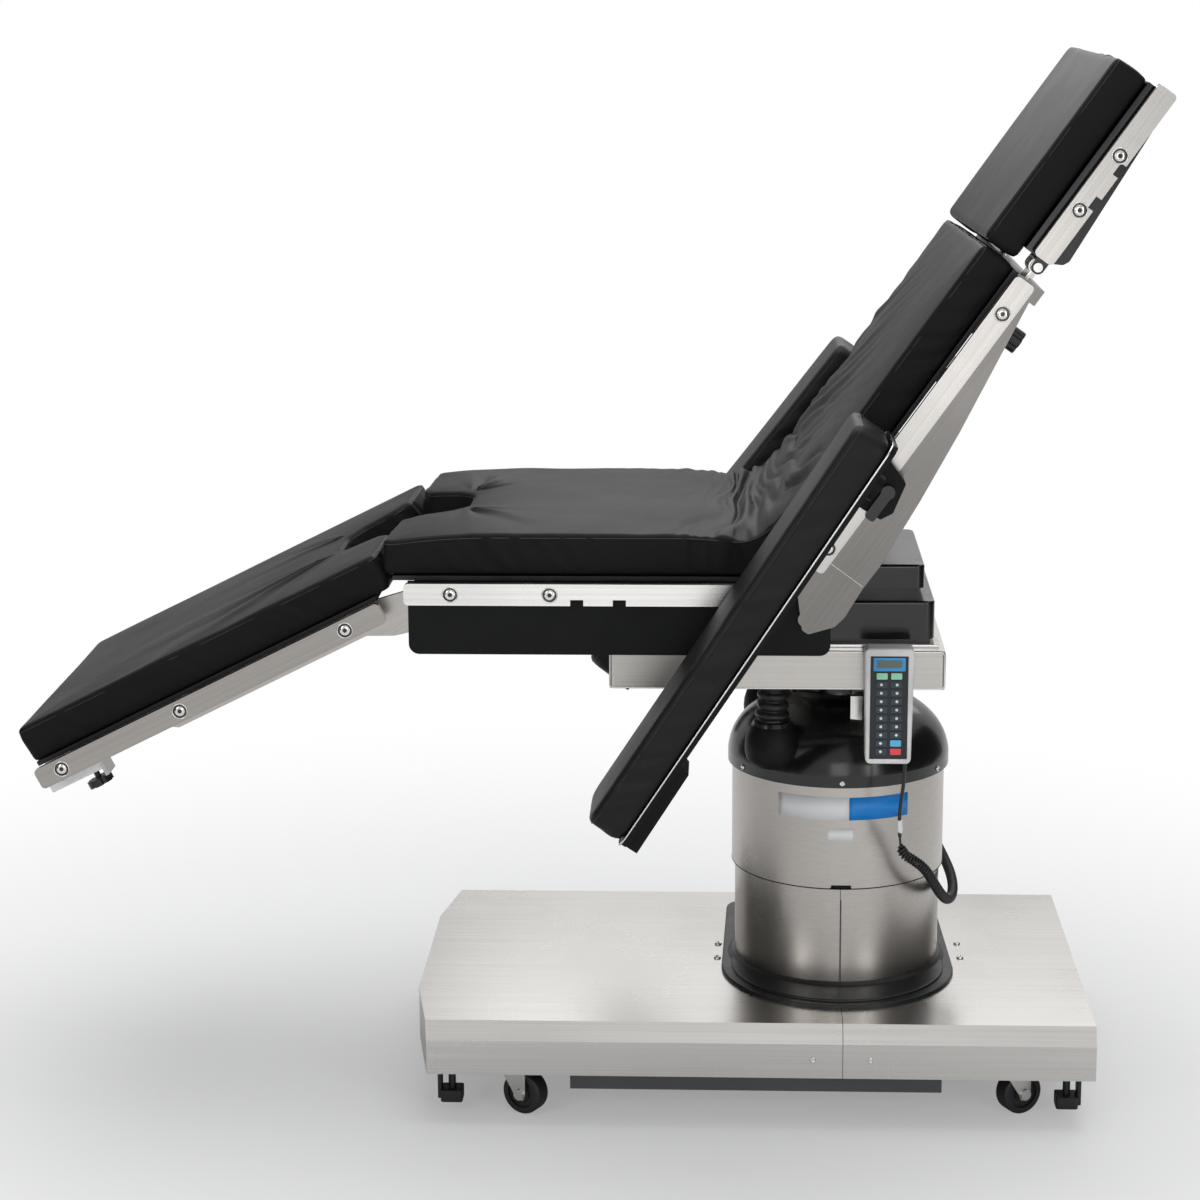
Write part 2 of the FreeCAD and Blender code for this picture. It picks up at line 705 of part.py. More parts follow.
def make_seat():
    top = hinge_z + panel_low
    carriage_low = saddle_top + slide_height + soft_gap
    side = box(leg_hinge_x - 18, back_hinge_x + 18, -frame_plate_out, -frame_plate_in, hinge_z - 40, top)
    side = rounded(side, 16.0, lambda e: runs_along(ALONG_Y)(e) and e.BoundBox.ZMax < hinge_z)
    side = side.cut(rod(pin_radius + running_gap, (leg_hinge_x, -300, hinge_z), (leg_hinge_x, 300, hinge_z)))
    side = side.cut(rod(pin_radius + running_gap, (back_hinge_x, -300, hinge_z), (back_hinge_x, 300, hinge_z)))
    parts = pair(side)
    for x in (-500, -330, -170):
        parts.append(box(x, x + 30, -frame_plate_in, frame_plate_in, hinge_z - 20, top))
    sole = box(-330, carriage_lower_head - 6, -slide_out + 14, slide_out - 14, carriage_low, carriage_low + 4)
    parts.append(sole)
    for x in (-330, -170):
        parts.append(box(x, x + 30, -slide_out + 14, slide_out - 14, carriage_low, hinge_z - 20))
    keep("seat_frame", joined(parts))

    cover = box(side_cover_foot, side_cover_head, -side_cover_out, -side_cover_out + side_cover_wall,
                side_cover_low, top - 1)
    cover = rounded(cover, 14.0, lambda e: runs_along(ALONG_Y)(e) and e.BoundBox.ZMax < side_cover_low + 1)
    lip = box(side_cover_foot + 120, back_hinge_x - 40, -side_cover_out, -side_cover_out + 14,
              side_cover_low, side_cover_low + side_cover_wall)
    ribs = [box(x, x + 4, -side_cover_out + side_cover_wall, -frame_plate_out, hinge_z - 30, top - 4)
            for x in (-440, -300, -160)]
    cover = joined([cover, lip] + ribs)
    cover = cover.cut(rod(pin_radius + 3, (back_hinge_x, -300, hinge_z), (back_hinge_x, 0, hinge_z)))
    keep("seat_side_covers", pair(cover))

    low = carriage_low + 4
    lower = box(carriage_foot_x, carriage_lower_head, -carriage_lower_half, carriage_lower_half,
                low, carriage_lower_top)
    lower = rounded(lower, 14.0, lambda e: runs_along(ALONG_Z)(e) and e.BoundBox.XMin > 0)
    lower = lower.makeFillet(4.0, [e for e in lower.Edges if e.BoundBox.ZMin > carriage_lower_top - 0.01])
    neck = box(carriage_foot_x, carriage_upper_head - 7, -carriage_upper_half + 7, carriage_upper_half - 7,
               carriage_lower_top, carriage_lower_top + carriage_neck)
    upper = box(carriage_foot_x, carriage_upper_head, -carriage_upper_half, carriage_upper_half,
                carriage_lower_top + carriage_neck, carriage_top)
    upper = rounded(upper, 12.0, lambda e: runs_along(ALONG_Z)(e) and e.BoundBox.XMin > 0)
    upper = upper.makeFillet(4.0, [e for e in upper.Edges if e.BoundBox.ZMin > carriage_top - 0.01])
    keep("carriage_covers", [lower, joined([neck, upper])])

    panel = box(seat_foot_x + 5, seat_pad_end - 6, -pad_half + 2, pad_half - 2, top, top + panel_thick)
    panel = panel.cut(notch_tool(seat_foot_x + 5, seat_foot_x + notch_depth, top, top + panel_thick))
    keep("seat_panel", panel)
    keep("seat_rails", rail_set(seat_rail_foot, seat_rail_head, seat_bolts, side_cover_out, rail_notches))
    pad_low = top + panel_thick + soft_gap
    pad = cushion(seat_foot_x, seat_pad_end, pad_half, pad_low, pad_low + seat_pad_thick)
    keep("seat_pad", pad.cut(notch_tool(seat_foot_x, seat_foot_x + notch_depth, pad_low - 1, pad_low + 90)))


# Leg section


def make_leg():
    at = leg_hinge_x
    top = hinge_z + panel_low
    gusset = plate([(at - 3, hinge_z + 38), (at + 15, hinge_z + 8), (at + 15, hinge_z - 8), (at + 6, hinge_z - 15),
                    (at - 19, hinge_z - 15), (at - 53, hinge_z - 7), (at - 86, hinge_z + leg_channel_low),
                    (at - 368, hinge_z + leg_channel_low), (at - 390, hinge_z + 22),
                    (at - leg_rail_end + 6, hinge_z + 22), (at - leg_rail_end + 6, top), (at - leg_pad_start, top)],
                   -leg_plate_out, -leg_plate_in)
    gusset = rounded(gusset, 6.0, lambda e: runs_along(ALONG_Y)(e) and e.BoundBox.ZMax < hinge_z - 1)
    pin = rod(pin_radius, (at, -leg_plate_out, hinge_z), (at, -frame_plate_in + 1, hinge_z))
    sides = pair(joined([gusset, pin]))
    bars = [box(at - x - 24, at - x, -leg_plate_in, leg_plate_in, hinge_z + 22, top)
            for x in (leg_notch_end + 16, 330)]
    bars.append(box(at - socket_start - 44, at - socket_start, -leg_plate_in, leg_plate_in,
                    hinge_z + socket_high, top))
    stop = box(at - socket_start, at - socket_start + 5, -socket_y - socket_half, -socket_y + socket_half,
               hinge_z - 8, top)
    keep_folded("leg_frame", joined(sides + bars + pair(stop)), at, -leg_drop)

    panel = box(at - leg_pad_end + 4, at - leg_pad_start, -pad_half + 2, pad_half - 2, top, top + panel_thick)
    panel = panel.cut(notch_tool(at - leg_pad_start, at - leg_notch_end, top, top + panel_thick))
    keep_folded("leg_panel", panel, at, -leg_drop)
    bolts = [at - x for x in leg_bolts]
    keep_folded("leg_rails", rail_set(at - leg_rail_end, at - leg_rail_start, bolts, leg_plate_out), at, -leg_drop)
    low = top + panel_thick + soft_gap
    pad = cushion(at - leg_pad_end, at - leg_pad_start, pad_half, low, low + leg_pad_thick)
    pad = pad.cut(notch_tool(at - leg_pad_start, at - leg_notch_end, low - 1, low + 90))
    keep_folded("leg_pad", pad, at, -leg_drop)

    block = box(at - socket_end, at - socket_start, -socket_y - socket_half, -socket_y + socket_half,
                hinge_z + socket_low, hinge_z + socket_high)
    block = rounded(block, 4.0, runs_along(ALONG_X))
    axis_z = hinge_z + (socket_low + socket_high) / 2
    block = block.cut(rod(socket_bore, (at - socket_end - 1, -socket_y, axis_z),
                          (at - socket_end + socket_depth, -socket_y, axis_z)))
    screw = at - clamp_knob_at
    block = block.cut(rod(4 + running_gap, (screw, -socket_y, 0), (screw, -socket_y, axis_z)))
    keep_folded("foot_blocks", pair(block), at, -leg_drop)
    knob = rod(4, (screw, -socket_y, hinge_z - 8), (screw, -socket_y, axis_z - socket_bore - 0.5))
    grip = knob_head(foot_knob_radius, foot_knob_height)
    grip.translate(V(screw, -socket_y, hinge_z - 8 - foot_knob_height))
    knob = joined([knob, grip])
    keep_folded("foot_knob_near", knob, at, -leg_drop)
    keep_folded("foot_knob_far", mirrored(knob), at, -leg_drop)


def knob_head(radius, height):
    """A round hand knob with six finger flutes."""
    head = Part.makeCylinder(radius, height)
    for i in range(6):
        turn = math.radians(60 * i)
        middle = V(radius * 1.08 * math.cos(turn), radius * 1.08 * math.sin(turn), -1)
        flute = Part.makeCylinder(radius * 0.26, height + 2, middle)
        head = head.cut(flute)
    return head


# Back section


def make_back():
    at = back_hinge_x
    top = hinge_z + panel_low
    outline = [(-14, -4), (-14, -14), (14, -36), (32, -39), (75, -35.5), (112, -36), (210, -27), (312, -14.5),
               (back_plate_end, 17), (back_plate_end, panel_low), (60, panel_low), (23, 30)]
    side = plate([(at + a, hinge_z + h) for a, h in outline], -back_plate_out, -back_plate_in)
    corners = lambda e: runs_along(ALONG_Y)(e) and e.Vertexes[0].X < at + 40 and e.Vertexes[0].Z < hinge_z
    side = rounded(side, 5.0, corners)
    pin = rod(pin_radius, (at, -back_plate_out, hinge_z), (at, -frame_plate_in + 1, hinge_z))
    parts = pair(joined([side, pin]))
    for x in (215, 345, back_plate_end - 22):
        parts.append(box(at + x, at + x + 22, -back_plate_in, back_plate_in, hinge_z + 4, top))
    for side_y in (-1, 1):
        y = side_y * rod_y
        parts.append(box(at + back_knob_at - 24, at + back_plate_end - 22, y - 16, y + 16,
                         hinge_z + 2, hinge_z + 34))
    frame = joined(parts)
    rods = [rod(rod_radius + running_gap, (at + rod_start - 30, y, hinge_z + rod_height),
                (at + back_plate_end + 1, y, hinge_z + rod_height)) for y in (-rod_y, rod_y)]
    screws = [rod(4 + running_gap, (at + back_knob_at, y, hinge_z - 20),
                  (at + back_knob_at, y, hinge_z + rod_height)) for y in (-rod_y, rod_y)]
    for tool in rods + screws:
        frame = frame.cut(tool)
    keep_folded("back_frame", frame, at, -back_rise)

    panel = box(at + back_pad_start + 3, at + back_plate_end, -pad_half + 2, pad_half - 2, top, top + panel_thick)
    keep_folded("back_panel", panel, at, -back_rise)
    keep_folded("back_rails", rail_set(at + back_rail_start, at + back_rail_end, [at + x for x in back_bolts],
                                       back_plate_out), at, -back_rise)
    low = top + panel_thick + soft_gap
    pad = cushion(at + back_pad_start, at + back_pad_end, pad_half, low, low + back_pad_thick)
    keep_folded("back_pad", pad, at, -back_rise)

    shaft = rod(4, (at + back_knob_at, -rod_y, hinge_z - 8), (at + back_knob_at, -rod_y, hinge_z + rod_height - rod_radius - 0.5))
    grip = knob_head(knob_radius, 18)
    grip.translate(V(at + back_knob_at, -rod_y, hinge_z - 26))
    knob = joined([shaft, grip])
    keep_folded("back_knob_near", knob, at, -back_rise)
    keep_folded("back_knob_far", mirrored(knob), at, -back_rise)


# Head section


def make_head():
    at = back_hinge_x
    pivot = (at + head_hinge, hinge_z + rod_height)
    block = box(pivot[0] - 10, pivot[0] + 10, -rod_y - 24, -rod_y + 24, pivot[1] - 11, pivot[1] + 11)
    block = rounded(block, 9.0, runs_along(ALONG_Y))
    bar = rod(rod_radius, (at + rod_start, -rod_y, pivot[1]), (pivot[0] - 4, -rod_y, pivot[1]))
    pin = rod(head_pin, (pivot[0], -rod_y - 36, pivot[1]), (pivot[0], -rod_y + 36, pivot[1]))
    keep_folded("head_rods", pair(joined([bar, block, pin])), at, -back_rise)

    outline = [(head_start, 24), (head_start + 10, 6), (head_start + 18, 2), (head_end - 24, 18),
               (head_end - 6, 24), (head_end - 2, 34), (head_end - 2, head_pad_low - soft_gap),
               (head_start, head_pad_low - soft_gap)]
    shell = plate([(at + a, hinge_z + h) for a, h in outline], -head_shell_half, head_shell_half)
    ends = lambda e: runs_along(ALONG_Y)(e) and e.BoundBox.ZMax < hinge_z + 30
    shell = rounded(shell, 6.0, ends)
    recess = box(at + head_start + 30, at + head_end - 40, -head_shell_half + 40, head_shell_half - 40,
                 hinge_z - 9, hinge_z + 34)
    shell = shell.cut(recess)
    ears = []
    for y in (-rod_y - 34, -rod_y + 26, rod_y - 34, rod_y + 26):
        ear = box(pivot[0], at + head_start + 6, y, y + 8, pivot[1] - 9, pivot[1] + 9)
        ear = joined([ear, rod(9, (pivot[0], y, pivot[1]), (pivot[0], y + 8, pivot[1]))])
        ears.append(ear)
    shell = joined([shell] + ears)
    shell = shell.cut(rod(head_pin + running_gap, (pivot[0], -300, pivot[1]), (pivot[0], 300, pivot[1])))
    keep_folded("head_frame", shell, at, -back_rise)

    found = rail_set(at + head_rail_start, at + head_rail_end, [at + x for x in head_bolts], head_shell_half,
                     [at + x for x in head_notches])
    end_plate = box(at + head_end - 2, at + head_rail_end, -rail_outer + rail_thick, -head_shell_half + 20,
                    hinge_z + rail_mid - 4, hinge_z + rail_mid + rail_height / 2)
    keep_folded("head_rails", found + pair(end_plate), at, -back_rise)
    high = hinge_z + head_pad_low + head_pad_thick
    pad = box(at + head_pad_start, at + head_pad_end, -pad_half, pad_half, hinge_z + head_pad_low, high)
    pad = rounded(pad, 14.0, runs_along(ALONG_Z))
    pad = pad.makeFillet(head_pad_round, [e for e in pad.Edges if e.BoundBox.ZMin > high - 0.01])
    keep_folded("head_pad", pad, at, -back_rise)


# Arm boards


def place_board(shapes, side, pitch):
    """Tips a board about the top of its pivot, sets it on its side of the table and folds it with the back."""
    found = []
    for shape in shapes:
        part = shape.copy()
        part.rotate(V(back_hinge_x + board_clamp_at, 0, hinge_z + board_low), ALONG_Y, -pitch)
        if side > 0:
            part = mirrored(part)
        part.rotate(V(back_hinge_x, 0, hinge_z), ALONG_Y, -back_rise)
        found.append(part)
    return found


def make_board(name, side, pitch):
    at = back_hinge_x + board_clamp_at
    z = hinge_z + rail_mid
    low = z - rail_height / 2 - clamp_gap
    high = z + rail_height / 2 + clamp_gap
    face = rail_outer + clamp_gap
    inner = rail_outer - rail_thick - clamp_gap
    outline = [(-37, 55), (-37, 35), (-35, 9), (-19, 1), (21, 10), (36, 52), (36, 55)]
    jaw = plate([(at + a, hinge_z + h - 1.5) for a, h in outline], -clamp_out, -face)
    jaw = rounded(jaw, 4.0, lambda e: runs_along(ALONG_Y)(e) and e.BoundBox.ZMax < hinge_z + 40)
    upper = box(at - 34, at + 34, -face - 4, -inner + clamp_lip, high, high + 4)
    upper_lip = box(at - 34, at + 34, -inner, -inner + clamp_lip, high - 3, high + 1)
    lower = box(at - 30, at + 16, -face - 4, -inner + clamp_lip, low - 4, low)
    lower_lip = box(at - 30, at + 16, -inner, -inner + clamp_lip, low - 1, low + 3)
    arm = box(at - 17, at + 17, -board_pivot_y, -clamp_out + 10, hinge_z + 40, hinge_z + 51)
    arm = joined([arm, rod(17, (at, -board_pivot_y, hinge_z + 40), (at, -board_pivot_y, hinge_z + 51))])
    clamp = joined([jaw, upper, upper_lip, lower, lower_lip, arm])
    clamp = clamp.cut(rod(5 + running_gap, (at, -clamp_out - 1, hinge_z + 22), (at, -clamp_out + 20, hinge_z + 22)))
    post = rod(pivot_post, (at, -board_pivot_y, hinge_z + 46), (at, -board_pivot_y, hinge_z + board_low + 5))
    clamp = joined([place_flat(clamp, side), place_flat(tip(post, pitch), side)])
    keep_folded(name + "_clamp", clamp, back_hinge_x, -back_rise)

    foot = at + board_past_pivot - board_length
    head = at + board_past_pivot
    under = hinge_z + board_low
    panel = box(foot, head, -board_pivot_y - board_half + 3, -board_pivot_y + board_half - 3, under, under + board_panel)
    panel = rounded(panel, 14.0, runs_along(ALONG_Z))
    grip = plate([(foot - 4, under - board_block_drop), (foot + board_end_block, under - board_block_drop + 2),
                  (foot + board_end_block + 6, under), (foot - 4, under)],
                 -board_pivot_y - 32, -board_pivot_y + 32)
    panel = joined([panel, grip])
    panel = panel.cut(rod(pivot_post + running_gap, (at, -board_pivot_y, under - 1), (at, -board_pivot_y, under + 6)))
    keep(name + "_panel", place_board([panel], side, pitch))
    low_pad = under + board_panel + soft_gap
    pad = cushion(foot, head, board_half, low_pad, low_pad + board_pad_thick, 18.0)
    pad.translate(V(0, -board_pivot_y, 0))
    keep(name + "_pad", place_board([pad], side, pitch))

    shaft = rod(5, (at, -clamp_out - 4, hinge_z + 22), (at, -clamp_out + 18, hinge_z + 22))
    arm = box(at - lever_length, at, -clamp_out - 13, -clamp_out - 1, hinge_z + 15, hinge_z + 29)
    arm = joined([arm, rod(9, (at, -clamp_out - 13, hinge_z + 22), (at, -clamp_out - 1, hinge_z + 22))])
    arm = rounded(arm, 4.0, lambda e: runs_along(ALONG_Y)(e) and e.Vertexes[0].X < at - lever_length + 1)
    lever = place_flat(joined([shaft, arm]), side)
    keep_folded(name + "_lever", lever, back_hinge_x, -back_rise)


def tip(shape, pitch):
    shape.rotate(V(back_hinge_x + board_clamp_at, 0, hinge_z + board_low), ALONG_Y, -pitch)
    return shape


def place_flat(shape, side):
    return mirrored(shape) if side > 0 else shape


# Hand control and its cord


def make_pendant():
    """A tapered case with a raised rim, a key panel let into its face and a hook on its back."""
    front = pendant_back + pendant_thick
    corners = [V(pendant_x - pendant_half_top, -front, pendant_top),
               V(pendant_x + pendant_half_top, -front, pendant_top),
               V(pendant_x + pendant_half_low, -front, pendant_low),
               V(pendant_x - pendant_half_low, -front, pendant_low)]
    case = Part.Face(Part.makePolygon(corners + corners[:1])).extrude(V(0, pendant_thick, 0))
    case = rounded(case, 7.0, lambda e: e.BoundBox.YLength > pendant_thick - 1)
    case = case.makeFillet(3.0, [e for e in case.Edges if e.BoundBox.YMax < -front + 0.01])
    recess = box(pendant_x - 25, pendant_x + 25, -front, -front + 2, pendant_low + 7, pendant_top - 10)
    case = case.cut(recess)
    hook = box(pendant_x - 14, pendant_x + 14, -pendant_back, -saddle_half - 0.6, 617, 620)
    hook_lip = box(pendant_x - 14, pendant_x + 14, -saddle_half - 3.4, -saddle_half - 0.6, 602, 620)
    keep("pendant_case", joined([case, hook, hook_lip]))
    face = box(pendant_x - 25 + soft_gap, pendant_x + 25 - soft_gap, -front + 0.4, -front + 2,
               pendant_low + 7 + soft_gap, pendant_top - 10 - soft_gap)
    keys = [box(pendant_x - 19, pendant_x + 19, -front - 0.4, -front + 0.4, pendant_top - 28, pendant_top - 14)]
    for row in range(10):
        z = pendant_top - 37 - row * 11.4
        for column in (-1, 1):
            x = pendant_x + column * 9.5
            keys.append(box(x - 7, x + 7, -front - 0.4, -front + 0.4, z - 4, z + 4))
    keep("pendant_face", joined([face] + keys))


def cord_route():
    """Centre points of the cord from the hand control round the column to the saddle's underside."""
    lead = [V(80, -209, 490), V(80, -209, 465), V(76, -209, 436), V(74, -208, 410), V(75.5, -206.5, 385)]
    curl = [V(75.5, -206.5, 385), V(76.9, -205.1, 362), V(95, -203, 351), V(112, -196, 336), V(129, -176, 302),
            V(143, -142, 276), V(154, -95, 262), V(162, -42, 258), V(163, 12, 262), V(156, 62, 272),
            V(140, 102, 296), V(120, 132, 340), V(106, 150, 400), V(98, 161, 460),
            V(socket_x, socket_cord_y, 515), V(socket_x, socket_cord_y, 568)]
    return lead, curl


def cord_tube(points, diameter, name):
    """Straight runs joined by tangent arcs, swept with a round section."""
    edges = []
    radii = []
    start = points[0]
    length = 0.0
    for before, corner, after in zip(points, points[1:], points[2:]):
        back = (before - corner)
        ahead = (after - corner)
        turn = math.pi - back.getAngle(ahead)
        trim = 0.45 * min(back.Length, ahead.Length)
        radius = trim / math.tan(turn / 2)
        radii.append(round(radius, 1))
        p1 = corner + back.normalize() * trim
        p2 = corner + ahead.normalize() * trim
        middle = (p1 + p2) * 0.5 - corner
        centre_gap = radius / math.cos(turn / 2)
        mid = corner + middle.normalize() * (centre_gap - radius)
        edges.append(Part.LineSegment(start, p1).toShape())
        edges.append(Part.Arc(p1, mid, p2).toShape())
        length += (p1 - start).Length + radius * turn
        start = p2
    edges.append(Part.LineSegment(start, points[-1]).toShape())
    length += (points[-1] - start).Length
    path = Part.Wire(edges)
    section = Part.Wire(Part.makeCircle(diameter / 2, points[0], points[1] - points[0]))
    tube_shape = path.makePipeShell([section], True, False)
    ratio = tube_shape.Volume / (math.pi * diameter ** 2 / 4 * length)
    print("%s: length %.0f mm, radii %s, volume over section times length %.4f" % (name, length, radii, ratio))
    return tube_shape


def make_cord():
    lead, curl = cord_route()
    keep("pendant_lead", cord_tube(lead, lead_diameter, "lead"))
    keep("pendant_curl", cord_tube(curl, curl_diameter, "curl"))


# Assembly

make_base_covers()
make_base_frame()
make_boot_ring()
upper_radius = make_shrouds()
make_column()
make_cap()
make_gaiters()
make_yoke()
make_saddle()
make_saddle_fittings()
for number, (castor_x, side_y, heading) in enumerate(castors, 1):
    make_castor(number, castor_x, side_y, heading)
make_floor_locks()
make_seat()
make_leg()
make_back()
make_head()
make_board("near_board", -1, near_board_pitch)
make_board("far_board", 1, far_board_pitch)
make_pendant()
make_cord()

cord_nodes = ("pendant_lead", "pendant_curl")
spans = [part.BoundBox for name, parts in nodes.items() if name not in cord_nodes for part in parts]
middle_x = (min(b.XMin for b in spans) + max(b.XMax for b in spans)) / 2
os.makedirs("parts", exist_ok=True)
for name, parts in nodes.items():
    for part in parts:
        part.translate(V(-middle_x, 0, 0))
    whole = parts[0] if len(parts) == 1 else Part.Compound(parts)
    if not whole.isValid():
        print("not valid:", name)
    whole.exportStep("parts/%s.step" % name)


def moved(hinge_x, degrees, x, z):
    """Where a point of the flat table comes to when its section is folded."""
    turn = math.radians(degrees)
    dx = x - hinge_x
    dz = z - hinge_z
    return (hinge_x + dx * math.cos(turn) + dz * math.sin(turn) - middle_x,
            hinge_z - dx * math.sin(turn) + dz * math.cos(turn))


print("column axis at x %.3f" % -middle_x)
print("leg hinge %.3f, back hinge %.3f, z %.1f" % (leg_hinge_x - middle_x, back_hinge_x - middle_x, hinge_z))
print("head hinge", moved(back_hinge_x, -back_rise, back_hinge_x + head_hinge, hinge_z + rod_height))
print("board pivot", moved(back_hinge_x, -back_rise, back_hinge_x + board_clamp_at, hinge_z + board_low))
print("lever pivot", moved(back_hinge_x, -back_rise, back_hinge_x + board_clamp_at, hinge_z + 22))
print("foot knob", moved(leg_hinge_x, -leg_drop, leg_hinge_x - clamp_knob_at, hinge_z))
print("back knob", moved(back_hinge_x, -back_rise, back_hinge_x + back_knob_at, hinge_z))
print("foot socket", moved(leg_hinge_x, -leg_drop, leg_hinge_x - socket_end, hinge_z + (socket_low + socket_high) / 2))
print("nodes", len(nodes))
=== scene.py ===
import json
import math

import bmesh
import bpy
import numpy as np
from mathutils import Matrix, Vector, noise


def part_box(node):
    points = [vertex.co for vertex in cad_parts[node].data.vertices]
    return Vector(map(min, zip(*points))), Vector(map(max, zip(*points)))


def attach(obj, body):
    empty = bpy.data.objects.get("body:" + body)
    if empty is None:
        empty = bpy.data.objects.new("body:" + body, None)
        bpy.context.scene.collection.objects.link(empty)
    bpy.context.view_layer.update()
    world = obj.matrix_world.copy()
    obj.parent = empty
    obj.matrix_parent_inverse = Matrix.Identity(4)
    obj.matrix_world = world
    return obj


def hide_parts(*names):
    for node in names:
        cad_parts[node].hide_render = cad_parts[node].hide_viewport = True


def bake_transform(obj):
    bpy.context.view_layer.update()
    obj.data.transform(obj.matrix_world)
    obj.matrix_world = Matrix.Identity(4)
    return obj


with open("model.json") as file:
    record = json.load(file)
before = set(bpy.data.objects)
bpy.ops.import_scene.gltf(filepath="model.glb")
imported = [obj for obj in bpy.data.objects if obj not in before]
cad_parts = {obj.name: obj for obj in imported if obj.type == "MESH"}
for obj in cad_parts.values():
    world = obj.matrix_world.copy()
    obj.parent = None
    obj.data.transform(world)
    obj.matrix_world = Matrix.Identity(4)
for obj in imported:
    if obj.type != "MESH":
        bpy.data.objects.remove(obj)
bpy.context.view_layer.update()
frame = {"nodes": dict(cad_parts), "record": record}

# Places taken from the frame. Lengths are in metres.
record = frame["record"]
joints = {j["name"]: j for j in record["behaviour"]["joints"]}
column_x = joints["trendelenburg"]["pos_m"][0]
leg_hinge = Vector(joints["leg_fold"]["pos_m"])
back_hinge = Vector(joints["back_raise"]["pos_m"])
leg_turn = joints["leg_fold"]["range_deg"][0]
back_turn = joints["back_raise"]["range_deg"][0]
MM = 0.001


def about(hinge, degrees):
    """Takes flat coordinates about a hinge, in millimetres, to the pose of the table, in metres."""
    return Matrix.Translation(hinge) @ Matrix.Rotation(math.radians(degrees), 4, "Y") @ Matrix.Scale(MM, 4)


LEG = about(leg_hinge, leg_turn)
BACK = about(back_hinge, back_turn)
COLUMN = Matrix.Translation(Vector((column_x, 0, 0))) @ Matrix.Scale(MM, 4)
board_names = ("near_board", "far_board")
board_side = {"near_board": -1, "far_board": 1}


def board_matrix(name):
    """Flat coordinates of an arm board about its pivot, with Y out from the table."""
    pivot = Vector(joints[name + "_swivel"]["pos_m"])
    axis = Vector(joints[name + "_swivel"]["axis"])
    up = axis if board_side[name] < 0 else -axis
    along = Vector((up.z, 0, -up.x))
    turn = Matrix((along, Vector((0, 1, 0)), up)).transposed().to_4x4()
    return Matrix.Translation(pivot) @ turn @ Matrix.Scale(MM, 4)


# Materials

coat_rough = 0.12
noise_rough = 0.55
noise_low = 0.3         # most of a noise lies between these two
noise_high = 0.7
MIX_FACTOR = 0          # sockets of a Mix node for colours
MIX_A = 6
MIX_B = 7
MIX_RESULT = 2


class Finish:
    """A material being built: a Principled shader and the nodes that vary it."""

    def __init__(self, name, colour, rough, metallic=0.0, coat=0.0, specular=0.5):
        self.material = bpy.data.materials.new(name)
        self.material.use_nodes = True
        self.nodes = self.material.node_tree.nodes
        self.links = self.material.node_tree.links
        self.shader = self.nodes["Principled BSDF"]
        self.colour = colour
        self.rough = rough
        self.shader.inputs["Metallic"].default_value = metallic
        self.shader.inputs["Specular IOR Level"].default_value = specular
        self.shader.inputs["Coat Weight"].default_value = coat
        self.shader.inputs["Coat Roughness"].default_value = coat_rough
        self.place = self.nodes.new("ShaderNodeTexCoord")
        self.height = None

    def noise(self, scale, detail=4.0, stretch=(1, 1, 1), turn=0.0):
        """Noise over the object's own place, stretched along its axes after a turn about Y."""
        turned = self.nodes.new("ShaderNodeMapping")
        turned.inputs["Rotation"].default_value = (0, math.radians(turn), 0)
        self.links.new(self.place.outputs["Object"], turned.inputs["Vector"])
        scaled = self.nodes.new("ShaderNodeMapping")
        scaled.inputs["Scale"].default_value = stretch
        self.links.new(turned.outputs["Vector"], scaled.inputs["Vector"])
        tex = self.nodes.new("ShaderNodeTexNoise")
        tex.inputs["Scale"].default_value = scale
        tex.inputs["Detail"].default_value = detail
        tex.inputs["Roughness"].default_value = noise_rough
        self.links.new(scaled.outputs["Vector"], tex.inputs["Vector"])
        return tex.outputs["Fac"]

    def cells(self, scale):
        """Distance to the edges of small cells, for the grain of leather cloth."""
        tex = self.nodes.new("ShaderNodeTexVoronoi")
        tex.feature = "DISTANCE_TO_EDGE"
        tex.inputs["Scale"].default_value = scale
        self.links.new(self.place.outputs["Object"], tex.inputs["Vector"])
        return tex.outputs["Distance"]

    def span(self, value, low, high):
        """Spreads a noise over the values from low to high."""
        remap = self.nodes.new("ShaderNodeMapRange")
        remap.inputs["From Min"].default_value = noise_low
        remap.inputs["From Max"].default_value = noise_high
        remap.inputs["To Min"].default_value = low
        remap.inputs["To Max"].default_value = high
        self.links.new(value, remap.inputs["Value"])
        return remap.outputs["Result"]

    def vary_colour(self, value, dark, light):
        """Colour between a darker and a lighter form of the base colour."""
        mix = self.nodes.new("ShaderNodeMix")
        mix.data_type = "RGBA"
        mix.inputs[MIX_A].default_value = (*[c * dark for c in self.colour], 1)
        mix.inputs[MIX_B].default_value = (*[min(1.0, c * light) for c in self.colour], 1)
        self.links.new(self.span(value, 0.0, 1.0), mix.inputs[MIX_FACTOR])
        self.links.new(mix.outputs[MIX_RESULT], self.shader.inputs["Base Color"])

    def vary_rough(self, value, spread):
        """Roughness a little below and above the base roughness."""
        low = max(0.02, self.rough - spread)
        high = min(1.0, self.rough + spread)
        self.links.new(self.span(value, low, high), self.shader.inputs["Roughness"])

    def bump(self, value, strength, distance):
        """Adds a relief. Each call stands on the one before it."""
        relief = self.nodes.new("ShaderNodeBump")
        relief.inputs["Strength"].default_value = strength
        relief.inputs["Distance"].default_value = distance
        self.links.new(value, relief.inputs["Height"])
        if self.height is not None:
            self.links.new(self.height, relief.inputs["Normal"])
        self.height = relief.outputs["Normal"]
        self.links.new(self.height, self.shader.inputs["Normal"])


